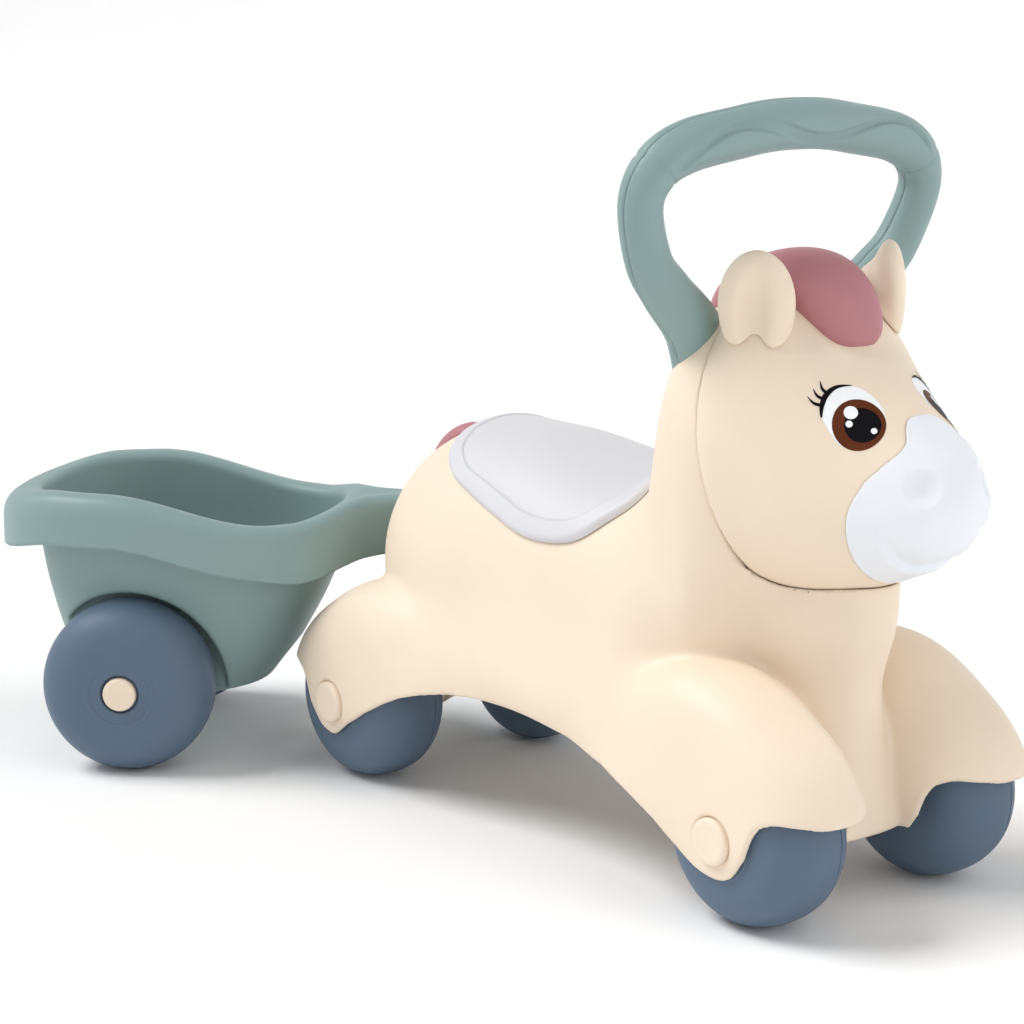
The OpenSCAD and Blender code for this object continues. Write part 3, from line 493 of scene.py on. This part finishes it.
def grid_values(field, low, high, step, mirrored):
    """Axes of a cubic grid and the field on it, worked out on one half where both sides are alike."""
    axes = [np.arange(a, b + step, step) for a, b in zip(low, high)]
    if not mirrored:
        return axes, np.asarray(field(np.ix_(*axes)), np.float32)
    half = np.arange(step / 2, high[1] + step, step)
    values = np.broadcast_to(field(np.ix_(axes[0], half, axes[2])), (len(axes[0]), len(half), len(axes[2])))
    axes[1] = np.concatenate([-half[::-1], half])
    return axes, np.concatenate([values[:, ::-1], values], axis=1).astype(np.float32)


def cell_places(values, cells):
    """Mean of the places where the field crosses the edges of each cell, in grid steps."""
    total, hits = np.zeros((len(cells), 3)), np.zeros(len(cells))
    for axis in range(3):
        for i, j in product((0, 1), repeat=2):
            a = np.insert(np.array([i, j]), axis, 0)
            b = np.insert(np.array([i, j]), axis, 1)
            va, vb = values[tuple((cells + a).T)], values[tuple((cells + b).T)]
            crossed = (va < 0) != (vb < 0)
            t = np.where(crossed, va / np.where(crossed, va - vb, 1), 0)
            total += np.where(crossed[:, None], a + t[:, None] * (b - a), 0)
            hits += crossed
    return cells + total / hits[:, None]


def cell_quads(inside, index):
    """A quad round each grid edge that crosses the surface, facing out."""
    quads = []
    for axis in range(3):
        others = [k for k in range(3) if k != axis]
        first = [slice(None)] * 3
        second = [slice(None)] * 3
        first[axis], second[axis] = slice(0, -1), slice(1, None)
        for k in others:
            first[k] = second[k] = slice(1, -1)
        edges = np.argwhere(inside[tuple(first)] != inside[tuple(second)])
        for k in others:
            edges[:, k] += 1
        leaving = inside[tuple(edges.T)]
        steps = np.zeros((4, 3), int)
        steps[1, others[0]] = steps[2, others[0]] = -1
        steps[2, others[1]] = steps[3, others[1]] = -1
        ring = np.stack([index[tuple((edges + s).T)] for s in steps], axis=1)
        turn = leaving if axis != 1 else ~leaving
        ring[~turn] = ring[~turn][:, ::-1]
        quads.append(ring)
    return np.concatenate(quads)


def surface_of(field, low, high, step, mirrored=True):
    """Vertices and quads of a field's surface, one vertex to each cell of a cubic grid that it passes."""
    axes, values = grid_values(field, low, high, step, mirrored)
    inside = values < 0
    size = np.array(values.shape) - 1
    count = sum(
        inside[i : size[0] + i, j : size[1] + j, k : size[2] + k].astype(np.int8)
        for i, j, k in product((0, 1), repeat=3)
    )
    active = (count > 0) & (count < 8)
    cells = np.argwhere(active)
    index = np.full(active.shape, -1, np.int32)
    index[active] = np.arange(len(cells))
    places = cell_places(values, cells) * step + np.array([a[0] for a in axes])
    return pull_onto(field, places, rounds=3, limit=0.6 * step), cell_quads(inside, index)


def new_piece(name, places, faces, material, body, nodes=()):
    """A mesh piece from places in millimetres, riding on a CAD body and standing for CAD nodes."""
    mesh = bpy.data.meshes.new(name)
    faces = np.asarray(faces, np.int32)
    mesh.vertices.add(len(places))
    mesh.vertices.foreach_set("co", (np.asarray(places) * MM).astype(np.float32).ravel())
    mesh.loops.add(faces.size)
    mesh.loops.foreach_set("vertex_index", faces.ravel())
    mesh.polygons.add(len(faces))
    mesh.polygons.foreach_set("loop_start", np.arange(0, faces.size, faces.shape[1], dtype=np.int32))
    mesh.update(calc_edges=True)
    mesh.validate()
    mesh.polygons.foreach_set("use_smooth", np.full(len(mesh.polygons), True))
    mesh.materials.append(material)
    piece = bpy.data.objects.new(name, mesh)
    bpy.context.scene.collection.objects.link(piece)
    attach(piece, body)
    if nodes:
        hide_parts(*nodes)


def field_piece(name, field, low, high, step, material, body, nodes, move=None):
    """A piece from a field that is alike on both sides, moved to its place."""
    places, quads = surface_of(field, low, high, step)
    new_piece(name, move(places) if move else places, quads, material, body, nodes)


def strip_faces(rows, columns, closed=True):
    """Quads of a sheet of rows by columns of points, closed along each row or open."""
    i, j = np.meshgrid(np.arange(rows - 1), np.arange(columns if closed else columns - 1), indexing="ij")
    n = (j + 1) % columns
    here, there = i * columns, (i + 1) * columns
    return np.stack([here + j, here + n, there + n, there + j], axis=-1).reshape(-1, 4)


def both_sides(half):
    """A closed outline from its half on one side, mirrored in its second value."""
    return np.concatenate([half, half[-2:0:-1] * [1, -1]])


def rounded_profile(points, radius, steps=4):
    """A profile with each inner corner rounded."""
    points = [np.array(p, float) for p in points]
    out = [points[0]]
    for a, b, c in zip(points, points[1:], points[2:]):
        r = min(radius, 0.45 * np.linalg.norm(a - b), 0.45 * np.linalg.norm(c - b))
        start = b + (a - b) / max(np.linalg.norm(a - b), 1e-9) * r
        end = b + (c - b) / max(np.linalg.norm(c - b), 1e-9) * r
        for t in np.linspace(0, 1, steps + 1):
            out.append((1 - t) ** 2 * start + 2 * t * (1 - t) * b + t * t * end)
    return np.array(out + [points[-1]])


def turned(profile, segments=144):
    """Points and quads of a profile (radius, place along the axis) turned about Y."""
    angle = np.linspace(0, 2 * math.pi, segments, endpoint=False)
    r, s = profile[:, :1], profile[:, 1:]
    places = np.stack([r * np.sin(angle), np.broadcast_to(s, (len(profile), segments)), r * np.cos(angle)], axis=-1)
    return places.reshape(-1, 3), strip_faces(len(profile), segments)


def swung(places, turn, centre):
    """Places turned about Z and moved to a centre."""
    c, s = math.cos(turn), math.sin(turn)
    x, y, z = np.asarray(places).T
    return np.stack([x * c - y * s, x * s + y * c, z], axis=1) + centre


def to_trailer(places):
    """From the straight trailer's own places to the frame."""
    return swung(places, SWING, [HITCH[0], HITCH[1], 0])


# Materials


def srgb(*levels):
    """Linear colour from display levels of 0 to 255."""
    share = [v / 255 for v in levels]
    return [s / 12.92 if s <= 0.04045 else ((s + 0.055) / 1.055) ** 2.4 for s in share]


def plastic(name, colour, roughness=0.45, grain=0.06, drift=0.05, sheen=0.35):
    """Satin moulded plastic: slow drift of colour and gloss, and a fine moulded grain."""
    material = bpy.data.materials.new(name)
    material.use_nodes = True
    nodes, links = material.node_tree.nodes, material.node_tree.links
    shader = nodes["Principled BSDF"]
    shader.inputs["Specular IOR Level"].default_value = sheen
    place = nodes.new("ShaderNodeTexCoord")
    slow = nodes.new("ShaderNodeTexNoise")
    slow.inputs["Scale"].default_value = 14
    slow.inputs["Detail"].default_value = 3
    links.new(place.outputs["Object"], slow.inputs["Vector"])
    tint = nodes.new("ShaderNodeMix")
    tint.data_type = "RGBA"
    tint.inputs["A"].default_value = [c * (1 - drift) for c in colour] + [1]
    tint.inputs["B"].default_value = [min(1, c * (1 + drift)) for c in colour] + [1]
    links.new(slow.outputs["Fac"], tint.inputs["Factor"])
    links.new(tint.outputs["Result"], shader.inputs["Base Color"])
    gloss = nodes.new("ShaderNodeMapRange")
    gloss.inputs["To Min"].default_value = roughness - 0.06
    gloss.inputs["To Max"].default_value = roughness + 0.06
    links.new(slow.outputs["Fac"], gloss.inputs["Value"])
    links.new(gloss.outputs["Result"], shader.inputs["Roughness"])
    fine = nodes.new("ShaderNodeTexNoise")
    fine.inputs["Scale"].default_value = 900
    fine.inputs["Detail"].default_value = 2
    links.new(place.outputs["Object"], fine.inputs["Vector"])
    bump = nodes.new("ShaderNodeBump")
    bump.inputs["Strength"].default_value = grain
    bump.inputs["Distance"].default_value = 0.0004
    links.new(fine.outputs["Fac"], bump.inputs["Height"])
    links.new(bump.outputs["Normal"], shader.inputs["Normal"])
    return material


def steel(name):
    """Drawn rod: the same drift and grain on bare metal."""
    material = plastic(name, srgb(176, 178, 181), roughness=0.32, grain=0.15)
    material.node_tree.nodes["Principled BSDF"].inputs["Metallic"].default_value = 1
    return material


CREAM = plastic("cream_plastic", srgb(242, 225, 204), 0.48)
MUZZLE_WHITE = plastic("white_plastic", srgb(238, 241, 247), 0.46, drift=0.02)
SEAT_WHITE = plastic("seat_plastic", srgb(217, 217, 221), 0.44, drift=0.02)
ROSE = plastic("rose_plastic", srgb(184, 124, 130), 0.46)
SAGE = plastic("sage_plastic", srgb(138, 162, 161), 0.46)
SLATE = plastic("slate_plastic", srgb(91, 109, 129), 0.5)
STEEL = steel("steel_rod")
EYE_WHITE = plastic("eye_white", srgb(250, 252, 255), 0.5, drift=0.01, sheen=0.1)
EYE_BROWN = plastic("eye_brown", srgb(95, 48, 26), 0.5, sheen=0.1)
EYE_BLACK = plastic("eye_black", srgb(14, 12, 16), 0.5, sheen=0.1)


# Pieces


def build_pony_shells():
    """Each piece with the corners of its grid and the grid's step."""
    field_piece("body", body_field, (-275, -120, 26), (275, 120, 372), 1.6, CREAM, "pony", ["body_shell"])
    field_piece("head", head_field, (118, -92, 176), (300, 92, 374), 1.6, CREAM, "pony", ["head_shell"])
    low, high = (212, -56, 190), (292, 56, 306)
    field_piece("muzzle_piece", muzzle_field, low, high, 1.0, MUZZLE_WHITE, "pony", ["muzzle"])
    field_piece("tail_piece", tail_field, (-230, -20, 180), (-145, 20, 256), 1.2, ROSE, "pony", ["tail"])
    low, high = EAR_PLACE - [30, 30, 45], EAR_PLACE + [30, 30, 40]
    places, quads = surface_of(ear_field, low, high, 1.0, mirrored=False)
    new_piece("ear_right_piece", places, quads, CREAM, "pony", ["ear_right"])
    new_piece("ear_left_piece", places * [1, -1, 1], quads[:, ::-1], CREAM, "pony", ["ear_left"])


def over_form(form, places, heights):
    """Places pulled onto a form and then raised by heights along its slope."""
    flat = pull_onto(form, places)
    slope = slope_of(form, flat)
    return flat + slope / np.linalg.norm(slope, axis=1)[:, None] * heights[:, None]


# Share of an outline's size at which the rings that fill it begin, small enough to close it
RING_START = 0.0005
# How far the edges of the seat and the mane run down into what carries them
EDGE_SINK = 1.5

SEAT_T, SEAT_BORDER, SEAT_STEP, SEAT_HOLLOW = 5.8, 14.0, 1.3, 0.8
SEAT_MIDDLE = np.array([-28.0, 0, BARREL_Z + BARREL_H])
# Half of the seat's outline in plan: place along the body and half width
SEAT_OUTLINE = [
    (-141, 0), (-140, 20), (-137, 36), (-128, 51), (-110, 61.5), (-84, 67.5), (-54, 72.5), (-22, 76.3), (10, 76.2),
    (32, 72.8), (47, 63), (56, 50), (59, 31), (59, 0),
]
# Section of the pad from its middle to its edge: share of the inner field, share of the border, and height
SEAT_SECTION = (
    [(k, 0.0, SEAT_T - SEAT_STEP - SEAT_HOLLOW * (1 - k * k)) for k in np.linspace(RING_START, 0.98, 20)]
    + [(1, 0.0, SEAT_T - SEAT_STEP), (1, 0.03, SEAT_T - SEAT_STEP - 0.3), (1, 0.06, SEAT_T - 0.1), (1, 0.12, SEAT_T)]
    + [(1, k, SEAT_T - 0.9 * k) for k in np.linspace(0.2, 0.72, 8)]
    + [(1, 1 - 0.28 * (1 - math.sin(a)), (SEAT_T - 0.7) * math.cos(a)) for a in np.linspace(0.1, 1.5, 10)]
    + [(1, 0.99, 0.5), (1, 0.96, 0.4), (1, 0.9, -EDGE_SINK)]
)


def build_seat():
    half = spline(SEAT_OUTLINE, np.linspace(0, len(SEAT_OUTLINE) - 1, 120))
    half[:, 1] = np.maximum(half[:, 1], 0)
    x, y = both_sides(half).T
    rump = np.minimum((x - RUMP_X) / RUMP_LEN, 0)
    top = BARREL_Z + BARREL_H * np.sqrt(np.maximum(0.05, 1 - (y / (BARREL_HALF_W + 1)) ** 2 - rump**2))
    edge = pull_onto(body_form, np.stack([x, y, top], axis=1))
    near = pull_onto(body_form, edge + (SEAT_MIDDLE - edge) * 0.1)
    line = edge + (near - edge) / np.linalg.norm(near - edge, axis=1)[:, None] * SEAT_BORDER
    line = pull_onto(body_form, line)
    rings = [SEAT_MIDDLE + (line - SEAT_MIDDLE) * k + (edge - line) * border for k, border, _ in SEAT_SECTION]
    heights = np.repeat([height for *_, height in SEAT_SECTION], len(edge))
    places = over_form(body_form, np.concatenate(rings), heights)
    quads = strip_faces(len(rings), len(edge))[:, ::-1]
    new_piece("seat_pad", places, quads, SEAT_WHITE, "pony", ["seat"])


# Mane outline: angle up from straight ahead round the head's middle, and half width
MANE_OUTLINE = [(46, 0), (47, 15), (52, 26), (66, 34), (84, 37), (104, 36), (124, 30), (140, 18), (146, 0)]
MANE_T, MANE_POWER, MANE_MIDDLE, MANE_R = 15.0, 3.2, 88.0, 95.0


def build_mane():
    half = spline(MANE_OUTLINE, np.linspace(0, len(MANE_OUTLINE) - 1, 70))
    angle, y = both_sides(half).T

    def place(angle, y):
        a = np.radians(angle)
        return np.stack([HEAD_X + MANE_R * np.cos(a), y, HEAD_Z + MANE_R * np.sin(a)], axis=1)

    def form(p):
        return join(12, head_form(p), neck_form(p))

    edge, middle = place(angle, y), place(np.full_like(angle, MANE_MIDDLE), 0 * y)
    shares = np.concatenate([np.linspace(RING_START, 0.8, 18), np.linspace(0.82, 1, 18), [1]])
    heights = MANE_T * np.sqrt(np.maximum(0, 1 - shares**MANE_POWER)) + SEATED
    heights[-1] = -EDGE_SINK
    rings = np.concatenate([middle + (edge - middle) * k for k in shares])
    places = over_form(form, rings, np.repeat(heights, len(edge)))
    new_piece("mane_piece", places, strip_faces(len(shares), len(edge)), ROSE, "pony", ["mane"])


# Eyes, printed on the head: places in the print's own plane, side and up from its middle, for the right eye
EYE_PLACE = np.array([222.0, -33.0, 294.0])
EYE_FACING = np.array([0.541, -0.539, 0.645])
EYE_SIDE = np.array([0.706, 0.708, 0.0])
EYE_UP = np.array([-0.457, 0.455, 0.764])
EYE_OUTLINE = [
    (-19.5, 1), (-19, 8), (-16.5, 15), (-11, 20.5), (-3, 22.5), (4.5, 20), (10.5, 14.5), (14.5, 7), (15.8, -2),
    (13.2, -11.5), (7.5, -17.5), (0.5, -19.4), (-8, -16.8), (-14.5, -9),
]
EYE_MIDDLE = (-1.0, 0.0)
IRIS, IRIS_SIZE = (1.1, -3.2), (15.0, 16.6)
PUPIL, PUPIL_SIZE = (3.1, -3.8), (10.3, 11.2)
GLINTS = [((-3.5, 3.9), 4.0), ((-4.4, -3.5), 2.0), ((9.4, -7.8), 1.8)]
LID = [(-19.8, 0.5), (-19.6, 7.5), (-17.2, 14.8), (-11.4, 20.6), (-3, 22.8)]
LID_HALF_W = [0.5, 1.3, 1.6, 1.1, 0.25]
LASHES = [
    [(-16.6, 15.6), (-19.5, 18.6), (-20.8, 23.7)],
    [(-18.4, 12), (-22.2, 13.8), (-24.6, 18.3)],
    [(-19.4, 8), (-24, 9.2), (-27.8, 13.3)],
]
LASH_HALF_W = [1.1, 0.8, 0.12]
# How far each layer of the print stands off the head
WHITE_LEVEL, IRIS_LEVEL, PUPIL_LEVEL, LINE_LEVEL, GLINT_LEVEL = 0.12, 0.2, 0.28, 0.3, 0.36


def on_head(flat, level):
    """From places in the right eye's plane onto the head, raised by a level."""
    places = EYE_PLACE + flat[:, :1] * EYE_SIDE + flat[:, 1:] * EYE_UP
    for _ in range(6):
        steep = np.maximum(slope_of(head_form, places) @ EYE_FACING, 0.3)
        places = places - ((head_form(tuple(places.T)) - level) / steep)[:, None] * EYE_FACING
    return places


def print_eye(name, flat, faces, level, material):
    """One colour of the print, on the right and on the left of the head."""
    places = on_head(flat, level)
    new_piece(name + "_right", places, faces, material, "pony")
    new_piece(name + "_left", places * [1, -1, 1], faces[:, ::-1], material, "pony")


def filled(outline, middle, rings=10):
    """Places and quads that fill an outline seen whole from a middle."""
    middle = np.array(middle)
    flat = np.concatenate([middle + (outline - middle) * k for k in np.linspace(RING_START, 1, rings)])
    return flat, strip_faces(rings, len(outline))


def oval(middle, size, count=72):
    angle = np.linspace(0, 2 * math.pi, count, endpoint=False)
    return np.stack([middle[0] + size[0] * np.cos(angle), middle[1] + size[1] * np.sin(angle)], axis=1)


def stroke(route, half_width, count=28):
    """Places and quads of a stroke along a route, with its half width at each point."""
    t = np.linspace(0, len(route) - 1, count)
    middle, width = spline(route, t), spline(half_width, t)
    along = np.gradient(middle, axis=0)
    across = np.stack([-along[:, 1], along[:, 0]], axis=1) / np.linalg.norm(along, axis=1)[:, None]
    rows = [middle + across * (width * k)[:, None] for k in (-1, 0, 1)]
    return np.concatenate(rows), strip_faces(3, count, closed=False)[:, ::-1]


def build_eyes():
    around = EYE_OUTLINE[-2:] + EYE_OUTLINE + EYE_OUTLINE[:3]
    white = spline(around, np.linspace(2, len(EYE_OUTLINE) + 2, 96, endpoint=False))[::-1]
    print_eye("eye_white", *filled(white, EYE_MIDDLE), WHITE_LEVEL, EYE_WHITE)
    print_eye("eye_iris", *filled(oval(IRIS, IRIS_SIZE), IRIS), IRIS_LEVEL, EYE_BROWN)
    print_eye("eye_pupil", *filled(oval(PUPIL, PUPIL_SIZE), PUPIL), PUPIL_LEVEL, EYE_BLACK)
    for i, (middle, size) in enumerate(GLINTS):
        spot = oval(middle, (size, size * 1.08), 32)
        print_eye(f"eye_glint_{i + 1}", *filled(spot, middle, 4), GLINT_LEVEL, EYE_WHITE)
    print_eye("eye_lid", *stroke(LID, LID_HALF_W), LINE_LEVEL, EYE_BLACK)
    for i, lash in enumerate(LASHES):
        print_eye(f"eye_lash_{i + 1}", *stroke(lash, LASH_HALF_W, 12), LINE_LEVEL, EYE_BLACK)


# Handle: half of the route from the middle of the grip, as share of the half width and fall below the grip
HANDLE_ROUTE = [
    (0, 0), (0.2, 0.8), (0.41, 4), (0.74, 10.5), (0.93, 22), (1, 42), (0.90, 74), (0.75, 93), (0.52, 118), (0.38, 150),
]
# Thickness along that route, as share of the grip's
HANDLE_THICK = [1, 1, 1, 1, 0.93, 0.86, 0.9, 1, 1.15, 1.25]
GRIP_T, HANDLE_LEAN = 30.0, math.radians(10)
HANDLE_BASE = (HEAD_X - 32, HEAD_Z + 43)
ROUTE_HALF_W, ROUTE_TOP = HANDLE_HALF_W - 13.5, HANDLE_TOP + 0.5 - GRIP_T / 2
# Groove where the halves meet: its depth, its width as an angle and the gap
GROOVE_DEPTH, GROOVE_TURN, HALVES_GAP = 0.9, 0.06, 0.12
# Wavy sunk band on the front of the grip, by the angle round the bar in degrees: middle and swing of its upper edge,
# length and shift of the wave, width, and how much wider it swells near one place
BAND_UP, BAND_SWING, WAVE_LEN, WAVE_SHIFT, BAND_DEPTH = 71.0, 31.0, 124.0, 10.0, 2.0
BAND_W, BAND_SWELL, BAND_SWELL_PLACE, BAND_SWELL_LEN = 14.0, 20.0, -24.0, 45.0
# Rings that end the grip
RING_PLACE, RING_DEPTH, RING_HALF_W = 110.0, 0.8, 1.2


def grip_relief(arc, turn, front):
    """Relief of the grip by place along the bar and angle round it, 0 at the outer side of the loop."""
    ring = -RING_DEPTH * np.exp(-(((abs(arc) - RING_PLACE) / RING_HALF_W) ** 2)) + 0 * turn
    if not front:
        return ring
    upper = BAND_UP + BAND_SWING * np.cos(2 * math.pi * (arc - WAVE_SHIFT) / WAVE_LEN)
    lower = upper + BAND_W + BAND_SWELL * np.exp(-(((arc - BAND_SWELL_PLACE) / BAND_SWELL_LEN) ** 2))
    band = ease((turn - upper) / 4 + 0.5) * ease((lower - turn) / 6 + 0.5)
    return ring - BAND_DEPTH * band * ease((RING_PLACE - 4 - abs(arc)) / 8)


def handle_half(front):
    """Points and quads of the front or the back half of the handle."""
    steps, sides = 420, 48
    route = [(-share, fall) for share, fall in HANDLE_ROUTE[:0:-1]] + HANDLE_ROUTE
    thickness = HANDLE_THICK[:0:-1] + HANDLE_THICK
    t = np.linspace(0, len(route) - 1, steps)
    flat = spline(route, t)
    y, z = flat[:, 0] * ROUTE_HALF_W, ROUTE_TOP - flat[:, 1]
    up = np.array([math.tan(HANDLE_LEAN), 0, 1])
    depth = np.array([math.cos(HANDLE_LEAN), 0, -math.sin(HANDLE_LEAN)])
    place = np.stack([HANDLE_BASE[0] + (z - HANDLE_BASE[1]) * up[0], y, z], axis=1)
    dy, dz = np.gradient(y), np.gradient(z)
    across = dy[:, None] * up - np.stack([0 * dz, dz / math.cos(HANDLE_LEAN) ** 2, 0 * dz], axis=1)
    across /= np.linalg.norm(across, axis=1)[:, None]
    arc = np.concatenate([[0], np.cumsum(np.linalg.norm(np.diff(place, axis=0), axis=1))])
    arc = arc - arc[-1] / 2
    turn = np.linspace(0, math.pi, sides)
    groove = GROOVE_DEPTH * np.exp(-np.minimum(turn, math.pi - turn) / GROOVE_TURN)
    half_t = GRIP_T / 2 * spline(thickness, t)
    radius = half_t[:, None] - groove + grip_relief(arc[:, None], np.degrees(turn)[None, :], front)
    out, deep = radius * np.cos(turn), radius * np.sin(turn) + HALVES_GAP
    way = 1 if front else -1
    places = place[:, None] + across[:, None] * out[..., None] + way * depth * deep[..., None]
    quads = strip_faces(steps, sides, closed=False)
    return places.reshape(-1, 3), quads if front else quads[:, ::-1]


def build_handle():
    for end in ("front", "back"):
        places, quads = handle_half(end == "front")
        new_piece(f"handle_{end}_half", places, quads, SAGE, "pony", [f"handle_{end}"])


# Wheels: the dome of the tread, and the face from it to the bore, as radius and rise over the flat of the face
AXLE_R, JOINT_R = 4.08, 46.0
FACE_R, DOME_POWER = 24.6, 2.4
FACE_STEPS = [(FACE_R, 0), (24, 0.35), (21.4, 0.35), (20.8, -0.2), (13.4, -0.3), (13, -4), (AXLE_R, -4)]
WHEEL_GAP, TREAD_STEP = 0.3, 0.5


def wheel_profile(radius, start, way):
    """Outer skin of one wheel moulding from its joint to its bore."""
    s = WHEEL_HALF_W * np.sin(np.linspace(math.asin(start / WHEEL_HALF_W), way * 1.56, 48))
    dome = (1 - abs(s / WHEEL_HALF_W) ** DOME_POWER) ** (1 / DOME_POWER)
    tread = np.stack([FACE_R + (radius - FACE_R) * dome, s], axis=1)
    tread[0, 0] -= TREAD_STEP
    face = [(r, way * (WHEEL_HALF_W + rise)) for r, rise in FACE_STEPS] + [(AXLE_R, start)]
    return rounded_profile(np.concatenate([[(AXLE_R, start), (JOINT_R, start)], tread, face]), 0.5)


def build_wheels():
    for end, side in product(("front", "rear", "trailer"), ("right", "left")):
        centre, turn = joint_place(f"{end}_{side}_roll"), joint_turn(f"{end}_{side}_roll")
        for part, start, way in (("", WHEEL_SEAM, -1), ("_cover", WHEEL_SEAM + WHEEL_GAP, 1)):
            node = f"wheel_{end}_{side}{part}"
            places, quads = turned(wheel_profile(centre[2], start, way))
            quads = quads if way > 0 else quads[:, ::-1]
            new_piece(
                node + "_skin", swung(places, turn, centre), quads, SLATE, f"{end}_{side}_wheel", [node]
            )


# Discs over the axle ends: radius and rise of their dished face, and how far their side runs in
CAP_FACE = [(0.2, 2.0), (8, 2.1), (10.2, 2.3), (12.6, 2.0), (13.8, 1.0)]
CAP_DEPTH, TRAILER_CAP_DEPTH = 2.0, 3.4


def build_caps():
    for end, side in product(("front", "rear", "trailer"), ("right", "left")):
        way = -1 if side == "right" else 1
        on_trailer = end == "trailer"
        size = TRAILER_CAP_R / CAP_R if on_trailer else 1.0
        foot = (CAP_R, -TRAILER_CAP_DEPTH if on_trailer else -CAP_DEPTH)
        places, quads = turned(rounded_profile([(r * size, s) for r, s in CAP_FACE + [foot]], 0.6), 72)
        places = places * [1, way, 1]
        if on_trailer:
            places = to_trailer(places + [-DRAWBAR, way * (TRAILER_Y + WHEEL_HALF_W), TRAILER_WHEEL_R])
        else:
            places = places + [FRONT_X if end == "front" else REAR_X, way * CHEEK_Y, WHEEL_R]
        quads = quads if way < 0 else quads[:, ::-1]
        body = "trailer" if on_trailer else "pony"
        new_piece(f"axle_cap_{end}_{side}", places, quads, CREAM, body, [f"cap_{end}_{side}"])


def build_trailer():
    low, high = (TUB_U - 135, -112, 38), (24, 112, 202)
    field_piece("trailer_body", tub_field, low, high, 1.7, SAGE, "trailer", ["trailer_tub"], to_trailer)


LOOKS = {
    "cream": CREAM, "sage": SAGE, "slate": SLATE, "rose": ROSE,
    "white": MUZZLE_WHITE, "seat_white": SEAT_WHITE, "steel": STEEL,
}


def dress_nodes():
    """Materials for the CAD nodes that still show."""
    slots = {s["node"]: s["material_slot"] for s in frame["record"]["subparts"]}
    for name, node in frame["nodes"].items():
        node.data.materials.clear()
        node.data.materials.append(LOOKS[slots[name]])


# Stage, camera and lights, in metres
FLOOR_R, WALL_CURVE_R, WALL_TOP = 60.0, 40.0, 50.0
CAMERA_PLACE = Vector((1.2003, -1.0603, 0.5209))
CAMERA_TARGET = Vector((-0.1267, 0.0, 0.1836))
CAMERA_LENS, CAMERA_REACH = 89.95, 200
WORLD_LIGHT = 0.15
# Far lights: where each comes from, its strength and its spread in degrees
SUNS = {"key": ((-0.44, -0.46, 0.77), 2.65, 35), "fill": ((0.55, 0.15, 0.82), 0.55, 50)}


def build_stage():
    """A round pale floor that curves up into a low wall."""
    flat = FLOOR_R - WALL_CURVE_R
    profile = [(1e-5, 0.0), (flat, 0.0)]
    for a in np.linspace(0, math.pi / 2, 14)[1:]:
        profile.append((flat + WALL_CURVE_R * math.sin(a), WALL_CURVE_R - WALL_CURVE_R * math.cos(a)))
    profile.append((FLOOR_R, WALL_TOP))
    angle = np.linspace(0, 2 * math.pi, 96, endpoint=False)
    places = [(r * math.cos(a), r * math.sin(a), z) for r, z in profile for a in angle]
    floor = bpy.data.meshes.new("floor")
    floor.from_pydata(places, [], strip_faces(len(profile), len(angle)).tolist())
    floor.polygons.foreach_set("use_smooth", np.full(len(floor.polygons), True))
    floor.materials.append(plastic("pale_floor", srgb(253, 253, 253), 0.9, grain=0.0, drift=0.003))
    stage = bpy.data.objects.new("floor", floor)
    bpy.context.scene.collection.objects.link(stage)


def build_camera():
    data = bpy.data.cameras.new("camera")
    data.sensor_width = 36
    data.lens = CAMERA_LENS
    data.clip_end = CAMERA_REACH
    camera = bpy.data.objects.new("camera", data)
    camera.location = CAMERA_PLACE
    camera.rotation_euler = (CAMERA_TARGET - CAMERA_PLACE).to_track_quat("-Z", "Y").to_euler()
    bpy.context.scene.collection.objects.link(camera)
    bpy.context.scene.camera = camera


def build_lights():
    world = bpy.data.worlds.new("studio")
    bpy.context.scene.world = world
    world.use_nodes = True
    background = world.node_tree.nodes["Background"]
    background.inputs["Color"].default_value = (1, 1, 1, 1)
    background.inputs["Strength"].default_value = WORLD_LIGHT
    for name, (place, strength, spread) in SUNS.items():
        data = bpy.data.lights.new(name, "SUN")
        data.energy = strength
        data.angle = math.radians(spread)
        light = bpy.data.objects.new(name, data)
        light.rotation_euler = (-Vector(place)).to_track_quat("-Z", "Y").to_euler()
        bpy.context.scene.collection.objects.link(light)
    bpy.context.scene.view_settings.view_transform = "Standard"


build_pony_shells()
build_seat()
build_mane()
build_eyes()
build_handle()
build_wheels()
build_caps()
build_trailer()
dress_nodes()
build_stage()
build_camera()
build_lights()
